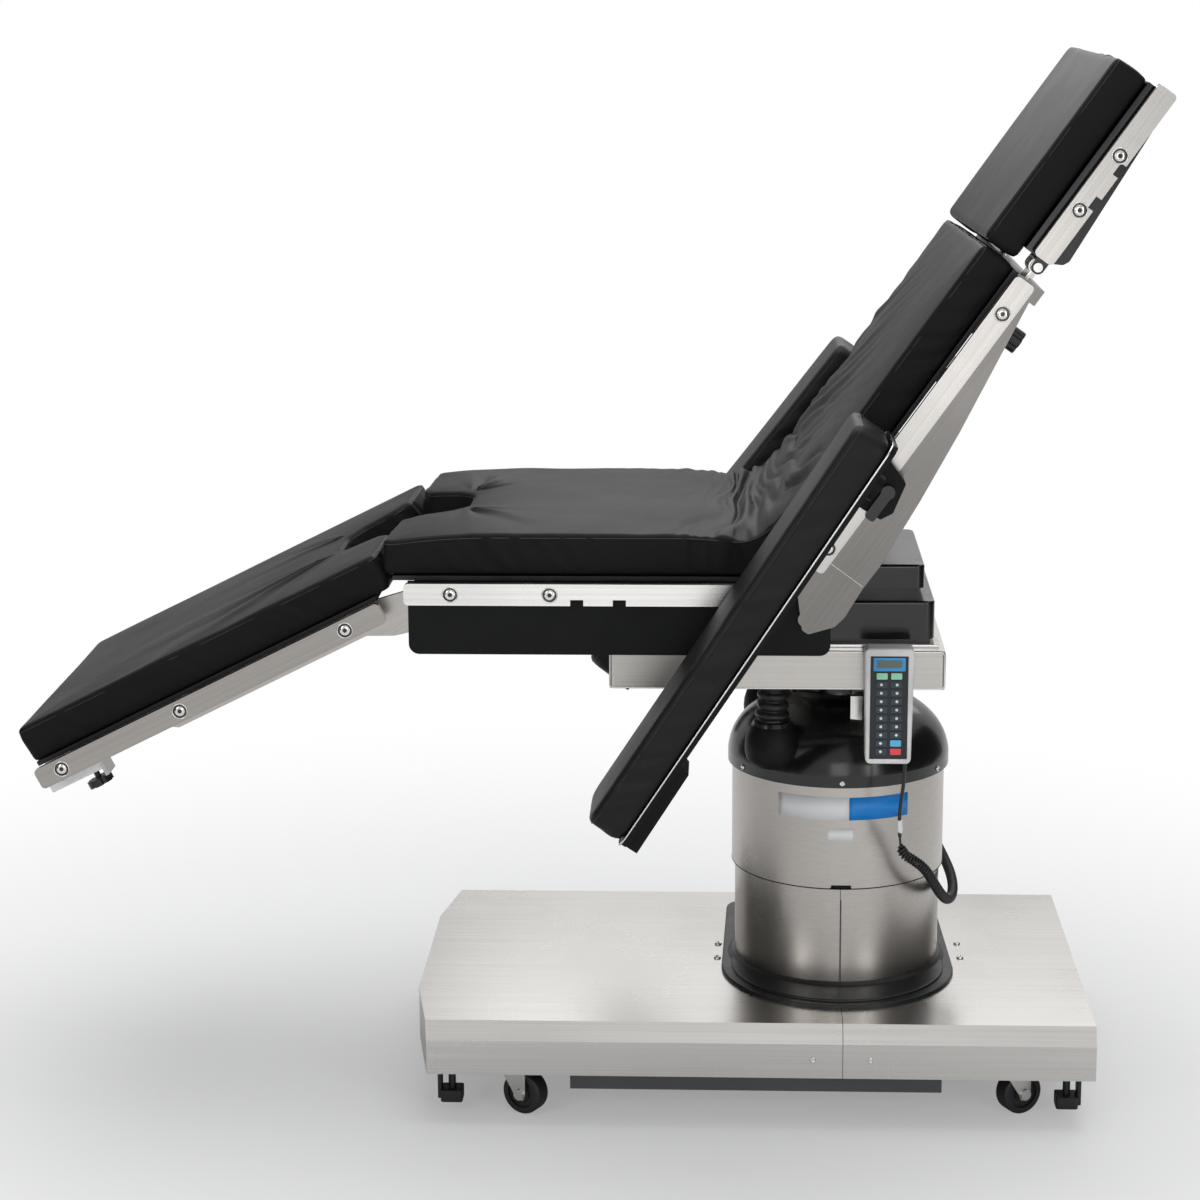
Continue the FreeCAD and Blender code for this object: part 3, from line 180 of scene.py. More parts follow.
def brushed(name, colour, rough, stretch, turn=0.0, smudge=0.06, lines=0.035):
    """Steel with fine lines along one axis and faint handling marks."""
    f = Finish(name, colour, rough, metallic=1.0)
    fine = f.noise(1.0, 3.0, stretch, turn)
    marks = f.noise(5.0, 5.0)
    f.vary_colour(fine, 0.93, 1.05)
    f.vary_rough(marks, smudge)
    f.bump(fine, lines, 0.0004)
    return f.material


def moulded(name, colour, rough, coat=0.0, grain=900.0, relief=0.05, spread=0.06, specular=0.5):
    """Moulded plastic or rubber with a fine even texture and slight unevenness of gloss."""
    f = Finish(name, colour, rough, coat=coat, specular=specular)
    broad = f.noise(14.0, 4.0)
    f.vary_colour(broad, 0.85, 1.15)
    f.vary_rough(f.noise(30.0, 5.0), spread)
    f.bump(f.noise(grain, 2.0), relief, 0.0003)
    return f.material


def vinyl(name, colour, rough, specular=0.22):
    """Coated conductive cloth of a table pad: satin, with a fine cellular grain and soft creases."""
    f = Finish(name, colour, rough, specular=specular)
    f.vary_colour(f.noise(6.0, 5.0), 0.9, 1.12)
    f.vary_rough(f.noise(9.0, 3.0), 0.025)
    f.bump(f.cells(1100.0), 0.12, 0.0004)
    return f.material


def enamel(name, colour, rough):
    """Sprayed enamel with a faint unevenness."""
    f = Finish(name, colour, rough)
    f.vary_colour(f.noise(9.0, 3.0), 0.9, 1.08)
    f.vary_rough(f.noise(40.0, 4.0), 0.05)
    f.bump(f.noise(420.0, 2.0), 0.05, 0.0004)
    return f.material


def polished(name, colour, rough):
    """Turned or plated metal, without a direction to its marks."""
    f = Finish(name, colour, rough, metallic=1.0)
    f.vary_colour(f.noise(12.0, 3.0), 0.94, 1.04)
    f.vary_rough(f.noise(60.0, 4.0), 0.04)
    f.bump(f.noise(180.0, 3.0), 0.02, 0.0003)
    return f.material


ALONG = (2.0, 420.0, 420.0)         # stretches noise into fine lines along X
AROUND = (60.0, 60.0, 900.0)        # and into lines that run level round the column
finishes = {
    "base": brushed("base_steel", (0.68, 0.66, 0.635), 0.27, ALONG, smudge=0.03, lines=0.05),
    "shroud": brushed("shroud_steel", (0.53, 0.50, 0.47), 0.30, AROUND, smudge=0.05, lines=0.04),
    "saddle": brushed("saddle_steel", (0.56, 0.54, 0.51), 0.30, ALONG, smudge=0.05),
    # The seat, leg and back rails are one steel. Its colour is painted lighter on the seat rail and darker on
    # the leg and back rails: painted light and shade for how the light falls on each section.
    "seat_rail": brushed("rail_steel_seat_painted_light", (0.90, 0.885, 0.86), 0.24, ALONG, smudge=0.09, lines=0.06),
    "leg_rail": brushed("rail_steel_leg_painted_shade", (0.40, 0.38, 0.355), 0.24, ALONG, turn=-leg_turn),
    "back_rail": brushed("rail_steel_back_painted_shade", (0.60, 0.58, 0.555), 0.24, ALONG, turn=-back_turn),
    "side_plate": brushed("side_plate_steel", (0.23, 0.22, 0.21), 0.25, ALONG, turn=-back_turn, smudge=0.08),
    "leg_plate": brushed("leg_plate_steel", (0.50, 0.48, 0.455), 0.28, ALONG, turn=-leg_turn),
    "bright": polished("bright_steel", (0.80, 0.79, 0.77), 0.14),
    "zinc": polished("zinc_plate", (0.62, 0.61, 0.58), 0.32),
    # Grey enamel, darkened to paint the shade that falls on the frame under the base and the seat.
    "chassis": enamel("chassis_grey_painted_shade", (0.085, 0.087, 0.09), 0.5),
    "gloss": moulded("gloss_black", (0.0055, 0.006, 0.007), 0.17, coat=0.35, grain=500.0, relief=0.02,
                     spread=0.05),
    "cover": moulded("cover_black", (0.0085, 0.009, 0.0095), 0.36, grain=700.0, specular=0.12),
    "cap": moulded("cap_black", (0.0065, 0.0068, 0.0075), 0.22, coat=0.25, grain=650.0, relief=0.03),
    "panel": moulded("panel_black", (0.0075, 0.0075, 0.008), 0.42),
    "rubber": moulded("rubber_black", (0.008, 0.008, 0.009), 0.40, grain=300.0),
    "boss": moulded("boss_black", (0.006, 0.006, 0.0065), 0.5, grain=300.0, specular=0.2),
    "tyre": moulded("tyre_black", (0.014, 0.014, 0.015), 0.55, grain=260.0, relief=0.12),
    "nylon": moulded("nylon_white", (0.95, 0.95, 0.93), 0.40, grain=500.0),
    "case": moulded("case_grey", (0.84, 0.84, 0.82), 0.36, grain=800.0),
    "keypad": moulded("keypad_black", (0.010, 0.012, 0.016), 0.30, grain=900.0),
    "knob": moulded("knob_black", (0.012, 0.012, 0.012), 0.40, grain=420.0),
    "cord": moulded("cord_black", (0.012, 0.012, 0.012), 0.36, grain=500.0),
    "pad": vinyl("pad_black", (0.0150, 0.0150, 0.0158), 0.38, specular=0.05),
    "pad_board": vinyl("board_pad_black", (0.0105, 0.0107, 0.0115), 0.42, specular=0.2),
    "pad_seam": vinyl("pad_seam_black", (0.020, 0.0205, 0.022), 0.36, specular=0.4),
    "key_white": moulded("key_white", (0.92, 0.97, 0.98), 0.35),
    "key_blue": moulded("key_blue", (0.12, 0.55, 0.92), 0.35),
    "key_green": moulded("key_green", (0.42, 0.92, 0.62), 0.35),
    "key_red": moulded("key_red", (0.92, 0.08, 0.10), 0.35),
    "bezel": moulded("bezel_blue", (0.06, 0.38, 0.80), 0.35),
    "key_slate": moulded("key_slate", (0.030, 0.052, 0.078), 0.35),
    "screen": moulded("screen_green", (0.13, 0.17, 0.12), 0.16, coat=0.6),
    "plate_blue": enamel("plate_blue", (0.01, 0.27, 0.80), 0.35),
    "plate_silver": enamel("plate_silver", (0.93, 0.94, 0.95), 0.34),
    "plate_white": enamel("plate_white", (0.97, 0.98, 0.98), 0.38),
}

node_finish = {
    "base_frame": "chassis", "base_cover_foot": "base", "base_cover_head": "base", "boot_ring": "rubber",
    "lower_shroud": "shroud", "outer_column": "chassis", "floor_lock_feet": "rubber",
    "middle_column": "bright",
    "shroud_sleeve_outer": "shroud", "shroud_sleeve_inner": "shroud", "inner_column": "bright",
    "upper_shroud": "shroud", "shroud_cap": "cap", "gaiters": "rubber", "tilt_yoke": "chassis",
    "saddle_beam": "saddle", "saddle_fittings": "bright", "pendant_case": "case", "pendant_face": "keypad",
    "carriage_covers": "gloss", "seat_frame": "chassis", "seat_side_covers": "cover", "seat_panel": "panel",
    "seat_rails": "seat_rail", "leg_frame": "leg_plate", "leg_panel": "panel", "leg_rails": "leg_rail",
    "foot_blocks": "nylon", "foot_knob_near": "knob", "foot_knob_far": "knob", "back_frame": "side_plate",
    "back_panel": "panel", "back_rails": "back_rail", "back_knob_near": "knob", "back_knob_far": "knob",
    "head_rods": "bright", "head_frame": "gloss", "head_rails": "back_rail",
}
for board in board_names:
    node_finish[board + "_clamp"] = "cover"
    node_finish[board + "_panel"] = "cover"
    node_finish[board + "_lever"] = "gloss"
for i in range(1, 5):
    node_finish["castor_fork_%d" % i] = "zinc"
    node_finish["castor_wheel_%d" % i] = "tyre"
for name, node in frame["nodes"].items():
    if name in node_finish:
        node.data.materials.clear()
        node.data.materials.append(finishes[node_finish[name]])


# Mesh helpers


def add_object(name, data):
    """A new object in the scene."""
    obj = bpy.data.objects.new(name, data)
    bpy.context.collection.objects.link(obj)
    return obj


def mesh_of(name, bm):
    """Mesh made from a bmesh, which is used up."""
    mesh = bpy.data.meshes.new(name)
    bm.to_mesh(mesh)
    bm.free()
    return mesh


def baked(obj):
    """Mesh of an object with its modifiers, or of a curve with its thickness."""
    bpy.context.view_layer.update()
    graph = bpy.context.evaluated_depsgraph_get()
    return bpy.data.meshes.new_from_object(obj.evaluated_get(graph))


def shade_smooth(mesh):
    for polygon in mesh.polygons:
        polygon.use_smooth = True


def piece(name, bm, finish, body, matrix=Matrix.Identity(4), smooth=True):
    """A finished piece that rides on a body, or on none yet."""
    bmesh.ops.recalc_face_normals(bm, faces=bm.faces)
    mesh = mesh_of(name, bm)
    mesh.transform(matrix)
    mesh.materials.append(finishes[finish])
    obj = add_object(name, mesh)
    if smooth:
        shade_smooth(mesh)
    if body:
        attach(obj, body)
    return obj


def settle(obj):
    """Bakes an object's modifiers into its mesh."""
    mesh = baked(obj)
    obj.modifiers.clear()
    obj.data = mesh


sharp_angle = 40        # degrees at an edge from which it is rounded


def soft_edges(obj, width, segments):
    """Rounds the sharp edges and bakes the result."""
    bevel = obj.modifiers.new("round", "BEVEL")
    bevel.width = width
    bevel.segments = segments
    bevel.limit_method = "ANGLE"
    bevel.angle_limit = math.radians(sharp_angle)
    settle(obj)


def prism(points, low, high):
    """Solid with an outline in XY between two heights."""
    bm = bmesh.new()
    face = bm.faces.new([bm.verts.new((x, y, low)) for x, y in points])
    extruded = bmesh.ops.extrude_face_region(bm, geom=[face])
    for v in [g for g in extruded["geom"] if isinstance(g, bmesh.types.BMVert)]:
        v.co.z = high
    return bm


def rounded(corners, radius, steps=5):
    """Outline whose corners are arcs. A corner is (x, y) or (x, y, its own radius)."""
    points = []
    count = len(corners)
    for i, corner in enumerate(corners):
        here = Vector(corner[:2])
        before = Vector(corners[i - 1][:2]) - here
        after = Vector(corners[(i + 1) % count][:2]) - here
        r = corner[2] if len(corner) > 2 else radius
        turn = before.angle(after)
        reach = min(r / math.tan(turn / 2), 0.48 * before.length, 0.48 * after.length)
        r = reach * math.tan(turn / 2)
        middle = here + (before.normalized() + after.normalized()).normalized() * (r / math.sin(turn / 2))
        start = here + before.normalized() * reach - middle
        sweep = start.angle_signed(here + after.normalized() * reach - middle)
        for k in range(steps + 1):
            a = -sweep * k / steps
            turned = Vector((start.x * math.cos(a) - start.y * math.sin(a),
                             start.x * math.sin(a) + start.y * math.cos(a)))
            points.append(tuple(middle + turned))
    return points


def lathe(profile, steps=32):
    """Solid of revolution about Z from (radius, height) points, closed at both ends."""
    bm = bmesh.new()
    rings = []
    for radius, height in profile:
        ring = []
        for k in range(steps):
            a = 2 * math.pi * k / steps
            ring.append(bm.verts.new((radius * math.cos(a), radius * math.sin(a), height)))
        rings.append(ring)
    for low, high in zip(rings, rings[1:]):
        for k in range(steps):
            bm.faces.new((low[k], low[(k + 1) % steps], high[(k + 1) % steps], high[k]))
    bm.faces.new(list(reversed(rings[0])))
    bm.faces.new(rings[-1])
    return bm


def facing(point, normal):
    """Matrix that sets a lathed part at a point, its axis along a normal. Millimetres about the column."""
    turn = Vector(normal).to_track_quat("Z", "Y").to_matrix().to_4x4()
    return Matrix.Translation(Vector(point)) @ turn


screw_head = ((1.0, 0.0), (1.0, 0.25), (0.93, 0.42), (0.72, 0.58), (0.5, 0.64), (0.46, 0.3), (0.02, 0.28))


def screw(name, point, normal, radius, body):
    """Domed socket screw. The outline of its head is given in shares of its radius."""
    head = [(radius * across, radius * height) for across, height in screw_head]
    piece(name, lathe(head, 24), "bright", body, COLUMN @ facing(point, normal))


def round_curve(name, kind, points, depth, fineness):
    """A curve object with a round section, and its spline."""
    curve = bpy.data.curves.new(name, "CURVE")
    curve.dimensions = "3D"
    curve.bevel_depth = depth
    curve.bevel_resolution = fineness
    spline = curve.splines.new(kind)
    spline.points.add(len(points) - 1)
    for target, point in zip(spline.points, points):
        target.co = (*point, 1)
    return add_object(name, curve), spline


def line(name, points, radius, finish, body, matrix=Matrix.Identity(4), cyclic=False):
    """A thin round bead along points, on a body or on none yet."""
    curve, spline = round_curve(name, "POLY", [matrix @ Vector(p) for p in points], radius, 2)
    spline.use_cyclic_u = cyclic
    mesh = baked(curve)
    bpy.data.objects.remove(curve)
    mesh.materials.clear()
    mesh.materials.append(finishes[finish])
    shade_smooth(mesh)
    bead = add_object(name, mesh)
    if body:
        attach(bead, body)
    return bead


# Camera, from the photograph's perspective

camera_lens = 85.7
camera_place = Vector((-0.1597, -3.8772, 1.5295))
camera_yaw = -0.0447
camera_pitch = 0.2201
camera_roll = -0.0056
camera = bpy.data.objects.new("camera", bpy.data.cameras.new("camera"))
bpy.context.collection.objects.link(camera)
ahead = Vector((math.sin(camera_yaw) * math.cos(camera_pitch), math.cos(camera_yaw) * math.cos(camera_pitch),
                -math.sin(camera_pitch)))
right = Vector((math.cos(camera_yaw), -math.sin(camera_yaw), 0))
above = right.cross(ahead)
rolled = right * math.cos(camera_roll) + above * math.sin(camera_roll)
top = above * math.cos(camera_roll) - right * math.sin(camera_roll)
camera.matrix_world = (Matrix.Translation(camera_place + Vector((column_x, 0, 0)))
                       @ Matrix((rolled, top, -ahead)).transposed().to_4x4())
camera.data.lens = camera_lens
camera.data.sensor_width = 36
camera.data.clip_end = 50
bpy.context.scene.camera = camera
bpy.context.scene.view_settings.view_transform = "Standard"


# Cord of the hand control. Points are in millimetres about the column, as in the part.

lead_route = [(80, -209, 490), (80, -209, 465), (76, -209, 436), (74, -208, 410), (75.5, -206.5, 385)]
curl_route = [(75.5, -206.5, 385), (76.9, -205.1, 362), (95, -203, 351), (112, -196, 336), (129, -176, 302),
              (143, -142, 276), (154, -95, 262), (162, -42, 258), (163, 12, 262), (156, 62, 272),
              (140, 102, 296), (120, 132, 340), (106, 150, 400), (98, 161, 460), (96, 164, 515),
              (96, 164, 568)]
lead_width = 0.005
wire_width = 0.0032
point_radius = 0.02     # each point's own radius, which also widens the curve's box
coil_radius = 0.0058
coil_pitch = 0.0043
coil_steps = 12
coil_margin = 0.01      # straight wire at each end of the route
coil_opening = 2.0      # turns in which the coil reaches its full width
sleeve_place = (74.9, -207.1, 409)
sleeve_axis = (0.9, 1.2, -19)
sleeve_profile = [(3.0, 0), (3.6, 1.5), (3.6, 17), (3.0, 19)]


def nurbs(name, points, width):
    """A smooth open cord along points, in metres."""
    obj, spline = round_curve(name, "NURBS", points, width / 2 / point_radius, 3)
    for point in spline.points:
        point.radius = point_radius
    spline.order_u = 3
    spline.use_endpoint_u = True
    obj.data.resolution_u = 8
    obj.data.materials.append(finishes["cord"])
    return obj


def path_of(obj):
    """Points along a curve's centre line."""
    depth = obj.data.bevel_depth
    obj.data.bevel_depth = 0
    mesh = baked(obj)
    obj.data.bevel_depth = depth
    return [v.co.copy() for v in mesh.vertices]


def length_of(points):
    return sum((b - a).length for a, b in zip(points, points[1:]))


def make_lead():
    """Straight lead of the hand control, with its sleeve."""
    lead = nurbs("lead_cord", [COLUMN @ Vector(p) for p in lead_route], lead_width)
    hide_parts("pendant_lead")
    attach(lead, "saddle")
    sleeve = piece("cord_sleeve", lathe(sleeve_profile, 20), "nylon", "saddle",
                   COLUMN @ facing(sleeve_place, sleeve_axis))
    round(length_of(path_of(lead)), 4)


def make_curl():
    """Coiled cord, whose wire turns about the route at an even pitch."""
    route = nurbs("curl_route", [COLUMN @ Vector(p) for p in curl_route], wire_width)
    spine = path_of(route)
    bpy.data.objects.remove(route)
    run = length_of(spine) - 2 * coil_margin
    count = int(run / coil_pitch) * coil_steps
    opening = coil_opening * coil_steps
    points = [spine[0]]
    side = (spine[1] - spine[0]).orthogonal().normalized()
    gone = 0.0
    index = 0
    for k in range(count + 1):
        want = coil_margin + run * k / count
        while index < len(spine) - 2 and gone + (spine[index + 1] - spine[index]).length < want:
            gone += (spine[index + 1] - spine[index]).length
            index += 1
        forward = (spine[index + 1] - spine[index]).normalized()
        here = spine[index] + forward * (want - gone)
        side = (side - forward * side.dot(forward)).normalized()
        across = forward.cross(side)
        turn = 2 * math.pi * k / coil_steps
        ease = min(1.0, k / opening, (count - k) / opening)
        points.append(here + (side * math.cos(turn) + across * math.sin(turn)) * coil_radius * ease)
    points.append(spine[-1])
    curl = nurbs("curly_cord", points, wire_width)
    curl.data.resolution_u = 2
    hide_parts("pendant_curl")
    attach(curl, "saddle")
    round(length_of(path_of(curl)), 4)


make_lead()
make_curl()


# Pads


def edge_places(outline, points):
    """For points in XY: the distance to the outline and the length along it to the nearest place."""
    start = np.array(outline)
    step = np.roll(start, -1, axis=0) - start
    size = np.linalg.norm(step, axis=1)
    before = np.concatenate(([0.0], np.cumsum(size)[:-1]))
    offset = points[:, None, :] - start[None, :, :]
    part = np.clip((offset * step).sum(axis=2) / (size * size), 0.0, 1.0)
    gap = np.linalg.norm(offset - part[:, :, None] * step, axis=2)
    nearest = gap.argmin(axis=1)
    rows = np.arange(len(points))
    return gap[rows, nearest], before[nearest] + part[rows, nearest] * size[nearest]


crease_sharp = 0.9
crease_sink = 0.35
fan_spread = 0.55       # half the angle of a fan of wrinkles, in radians
fan_start = 14.0        # distance from its point at which a fan is at its deepest


def fold_depth(value):
    """Turns smooth noise into full puffs that meet in narrow creases."""
    return abs(value) ** crease_sharp - crease_sink


def fan(p, centre, toward, reach, count, depth):
    """Wrinkles in the cloth that spread from a point, about a direction, and die out at a distance."""
    step = Vector((p.x - centre[0], p.y - centre[1]))
    distance = step.length
    off = step.angle_signed(Vector(toward), 0.0)
    hold = math.exp(-(off / fan_spread) ** 2 - distance / reach) * min(1.0, distance / fan_start)
    warp = 1.4 * noise.noise(Vector((p.x / 60, p.y / 60, count)))
    return depth * hold * math.sin(count * off + warp)


# Form of a pad's skin, in millimetres
pad_voxel = 3.8
broad_edge = 5.0        # a rounding wider than this takes more facets
crown_reach = 60.0      # how far in from the edge the top goes on rising
side_bulge = 1.4
gather_depth = 3.4
gather_width = 19.0
calm_width = 170.0      # length of edge over which the gathers come and go
puff_depth = 1.2
puff_width = (240.0, 170.0)


def pad(name, outline, low, high, shape, crown=5.0, edge=3.4, seed=0.0, folds=None, extra=None, finish="pad"):
    """Upholstered pad: a prism remeshed finely, puffed and creased flat, then placed by shape()."""
    obj = piece(name, prism(outline, low, high), finish, None)
    soft_edges(obj, edge, 2 if edge < broad_edge else 4)
    remesh = obj.modifiers.new("fine", "REMESH")
    remesh.mode = "VOXEL"
    remesh.voxel_size = pad_voxel
    settle(obj)
    even = obj.modifiers.new("even", "SMOOTH")
    even.factor = 0.5
    even.iterations = 1
    settle(obj)
    mesh = obj.data
    places = [v.co.copy() for v in mesh.vertices]
    normals = [v.normal.copy() for v in mesh.vertices]
    inside, along = edge_places(outline, np.array([(p.x, p.y) for p in places]))
    for vertex, p, normal, d, s in zip(mesh.vertices, places, normals, inside, along):
        rise = (p.z - low) / (high - low)
        up = max(0.0, normal.z)
        side = 1 - abs(normal.z)
        held = min(1.0, 4 * rise)
        lift = (crown * (1 - math.exp(-d / crown_reach)) - crown * 0.2) * rise * up
        bulge = side_bulge * side * math.sin(math.pi * min(1.0, max(0.0, rise)))
        slant = Vector(((s + 0.9 * p.z) / gather_width, p.z / 90, seed + 3))
        calm = max(0.12, 0.5 + 1.5 * noise.noise(Vector((s / calm_width, 0, seed + 5))))
        gather = noise.noise(slant) * gather_depth * side * calm
        puff = noise.noise(Vector((p.x / puff_width[0], p.y / puff_width[1], seed))) * puff_depth * up
        spot = p + normal * ((bulge + gather + puff) * held)
        if folds:
            spot += normal * (folds(p) * held * (0.3 + 0.7 * rise))
        if extra:
            lift += extra(p) * rise
        spot.z += lift
        spot.z = max(spot.z, low + 0.2)
        vertex.co = shape(spot)
    mesh.update()
    shade_smooth(mesh)
    return obj


seam_step = 8.0         # longest straight piece of a seam


def seam(name, outline, height, shape, body, radius=0.7, finish="pad_seam", extra=None):
    """Sewn edge that runs round a pad at a height above its base."""
    closed = outline + outline[:1]
    points = []
    for (x0, y0), (x1, y1) in zip(closed, closed[1:]):
        steps = max(1, int(math.hypot(x1 - x0, y1 - y0) / seam_step))
        for k in range(steps):
            t = k / steps
            spot = Vector((x0 + (x1 - x0) * t, y0 + (y1 - y0) * t, height))
            if extra:
                spot.z += extra(spot)
            points.append(shape(spot))
    return line(name, points, radius * MM, finish, body, cyclic=True)


# Pads, in flat coordinates about the column or about a section's hinge
pad_half = 251.0
pad_corner = 8
seat_foot = -597.0
seat_low = 749.8
seat_high = 795.5
seat_swell = 9.0
fold_start = -150.0
fold_length = 180.0
fold_middle = fold_start + 0.5 * fold_length
fold_under = -70.0      # where the lower and the upper face would meet the back if the fold were sharp
fold_over = -107.7
bunch_width = 128.0
bunch_depth = 17.0
drape_depth = 4.5
drape_end = 190.0
back_fold_end = 165.0
back_pad_low = 52.6
back_pad_high = 101.5
back_pad_end = 516.0


def quadratic(p0, p1, p2, t):
    return p0 * (1 - t) ** 2 + p1 * 2 * t * (1 - t) + p2 * t ** 2


def back_point(along, height):
    """Point of the back section in the XZ plane about the column, in millimetres."""
    turn = math.radians(-back_turn)
    x = (back_hinge.x - column_x) / MM + along * math.cos(turn) - height * math.sin(turn)
    z = back_hinge.z / MM + along * math.sin(turn) + height * math.cos(turn)
    return Vector((x, 0, z))


def along_seat_and_back(p):
    """Takes the flat pad of seat and back round the fold between them."""
    rise = (p.z - seat_low) / (seat_high - seat_low)
    if p.x <= fold_start:
        low = Vector((p.x, 0, seat_low))
        high = Vector((p.x, 0, seat_high))
    elif p.x >= fold_start + fold_length:
        along = back_fold_end + p.x - fold_start - fold_length
        low = back_point(along, back_pad_low)
        high = back_point(along, back_pad_high)
    else:
        t = (p.x - fold_start) / fold_length
        low = quadratic(Vector((fold_start, 0, seat_low)), Vector((fold_under, 0, seat_low)),
                        back_point(back_fold_end, back_pad_low), t)
        high = quadratic(Vector((fold_start, 0, seat_high)), Vector((fold_over, 0, seat_high)),
                         back_point(back_fold_end, back_pad_high), t)
    spot = low.lerp(high, rise)
    return COLUMN @ Vector((spot.x, p.y, spot.z))


def crease_at_fold(p):
    """Bunched cloth where the back rises from the seat, and the pull of the corners of the cut-out."""
    spread = (p.x - fold_middle + 15) / bunch_width
    reach = math.exp(-spread * spread)
    across = p.y / pad_half
    warp = 1.1 * noise.noise(Vector((p.y / 150, p.x / 90, 5)))
    lean = 0.3 * across * (p.x - fold_middle) / 30
    main = noise.noise(Vector((p.x / 31 + warp + lean, p.y / 300, 2)))
    small = noise.noise(Vector((p.x / 19 - warp, p.y / 160, 8)))
    bunched = reach * (bunch_depth * fold_depth(main) + 2.2 * small)
    back = min(1.0, max(0.0, (p.x - fold_middle - 20) / 60)) * math.exp(-max(0.0, p.x - drape_end) / 60)
    draped = noise.noise(Vector(((p.x + 0.75 * p.y) / 27, (p.x - p.y) / 240, 4)))
    hanging = drape_depth * back * draped * max(0.0, across + 0.4)
    pulls = fan(p, (-512, 60), (0.45, 0.9), 95, 12, 5.0) + fan(p, (-512, -60), (0.6, -0.8), 75, 10, 5.0)
    return bunched + hanging + pulls


def swell_of_seat(p):
    """The stuffing of the seat is thicker than its foot end, and thins again toward the fold."""
    grow = min(1.0, max(0.0, (p.x - seat_foot - 8) / 130))
    fade = min(1.0, max(0.0, (fold_start + 80 - p.x) / 150))
    return seat_swell * grow * (2 - grow) * fade * fade * (3 - 2 * fade)


def skewed(outline, edge, depth, near, far):
    """Moves an outline's points near one end along X, by other amounts at the near and the far corner."""
    moved = []
    for x, y in outline:
        share = min(1.0, max(0.0, 1 - abs(x - edge) / depth))
        moved.append((x + share * (near + (far - near) * (y + pad_half) / (2 * pad_half)), y))
    return moved


def cut_out(edge, bottom, half_width, mouth):
    """Corners of a section's end with its U-shaped cut-out, from the near side to the far side."""
    out = 1 if edge > bottom else -1
    near = [(edge, -mouth, 10), (edge - out * 16, -mouth + 24, 20), (bottom + out * 22, -half_width, 26),
            (bottom, -half_width + 24, 26)]
    return near + [(x, -y, radius) for x, y, radius in reversed(near)]


def make_seat_back_pad():
    """One pad over seat and back, with the cut-out at its foot end."""
    length = fold_start + fold_length + back_pad_end - back_fold_end
    far_end = [(length, -pad_half, pad_corner), (length, pad_half, pad_corner)]
    notch = list(reversed(cut_out(seat_foot, seat_foot + 86, 62, 104)))
    foot_end = [(seat_foot, pad_half, pad_corner)] + notch + [(seat_foot, -pad_half, pad_corner)]
    outline = skewed(rounded(foot_end + far_end, 10), seat_foot, 130, -8, 17)
    outline = skewed(outline, length, 150, 3, -11)
    main = pad("seat_back_pad", outline, seat_low, seat_high, along_seat_and_back, seed=1.0,
               folds=crease_at_fold, extra=swell_of_seat)
    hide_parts("seat_pad", "back_pad")
    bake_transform(main)
    edge = seam("seat_back_seam", outline, seat_high - 5.5, along_seat_and_back, None, extra=swell_of_seat)
    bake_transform(edge)


def make_leg_pad():
    nose = -14.0
    foot = -565.0
    corners = [(foot, pad_half, pad_corner), (foot, -pad_half, pad_corner), (nose, -pad_half, pad_corner)]
    corners += cut_out(nose, -106, 64, 108) + [(nose, pad_half, pad_corner)]
    outline = skewed(rounded(corners, 10), nose, 130, -14, 0)

    def on_leg(p):
        return LEG @ p

    def pulled(p):
        return fan(p, (-112, -62), (-0.86, -0.5), 190, 12, 4.5) + fan(p, (-112, 62), (-0.9, 0.4), 90, 10, 2.5)

    leg = pad("leg_pad_cushion", outline, 52.6, 102.0, on_leg, seed=11.0, folds=pulled)
    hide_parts("leg_pad")
    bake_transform(leg)
    edge = seam("leg_pad_seam", outline, 96.5, on_leg, None)
    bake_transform(edge)


def make_head_pad():
    near = 524
    far = 800
    outline = rounded([(near, -pad_half), (far, -pad_half), (far, pad_half), (near, pad_half)], pad_corner)
    outline = skewed(outline, near, 150, 4, -11)

    def on_back(p):
        return BACK @ p

    head = pad("head_pad_cushion", outline, 57.2, 106.0, on_back, crown=3.0, seed=21.0)
    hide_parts("head_pad")
    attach(head, "head")
    seam("head_pad_seam", outline, 100.5, on_back, "head")


def make_board_pads():
    """Pads of the two arm boards, each with a bright line round its base."""
    foot = -549
    top_end = 61
    half = 64
    for board in board_names:
        place = board_matrix(board)
        outline = rounded([(foot, -half, 24), (top_end, -half, 18), (top_end, half, 18),
                           (foot, half, 24)], 16)

        def on_board(p, place=place):
            return place @ p

        cushion = pad(board + "_cushion", outline, 8.4, 59.5, on_board, crown=2.0, edge=8.0,
                      seed=31.0 + board_side[board], finish="pad_board")
        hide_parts(board + "_pad")
        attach(cushion, board)
        seam(board + "_seam", outline, 51.5, on_board, board)
        trim = rounded([(foot - 2, -half - 2), (top_end + 2, -half - 2), (top_end + 2, half + 2),
                        (foot - 2, half + 2)], 18)
        seam(board + "_base_line", trim, 8.0, on_board, board, radius=1.3, finish="bright")


make_seat_back_pad()
make_leg_pad()
make_head_pad()
make_board_pads()


# Fittings


def merged(parts):
    """One mesh of several (bmesh, matrix) parts."""
    whole = bmesh.new()
    for bm, matrix in parts:
        mesh = mesh_of("part", bm)
        mesh.transform(matrix)
        whole.from_mesh(mesh)
        bpy.data.meshes.remove(mesh)
    return whole


def torus(radius, thick, steps=36, sides=8):
    """Ring about Z."""
    bm = bmesh.new()
    rings = []
    for k in range(steps):
        a = 2 * math.pi * k / steps
        ring = []
        for j in range(sides):
            b = 2 * math.pi * j / sides
            out = radius + thick * math.cos(b)
            ring.append(bm.verts.new((out * math.cos(a), out * math.sin(a), thick * math.sin(b))))
        rings.append(ring)
    for k in range(steps):
        here = rings[k]
        ahead_ring = rings[(k + 1) % steps]
        for j in range(sides):
            bm.faces.new((here[j], ahead_ring[j], ahead_ring[(j + 1) % sides], here[(j + 1) % sides]))
    return bm


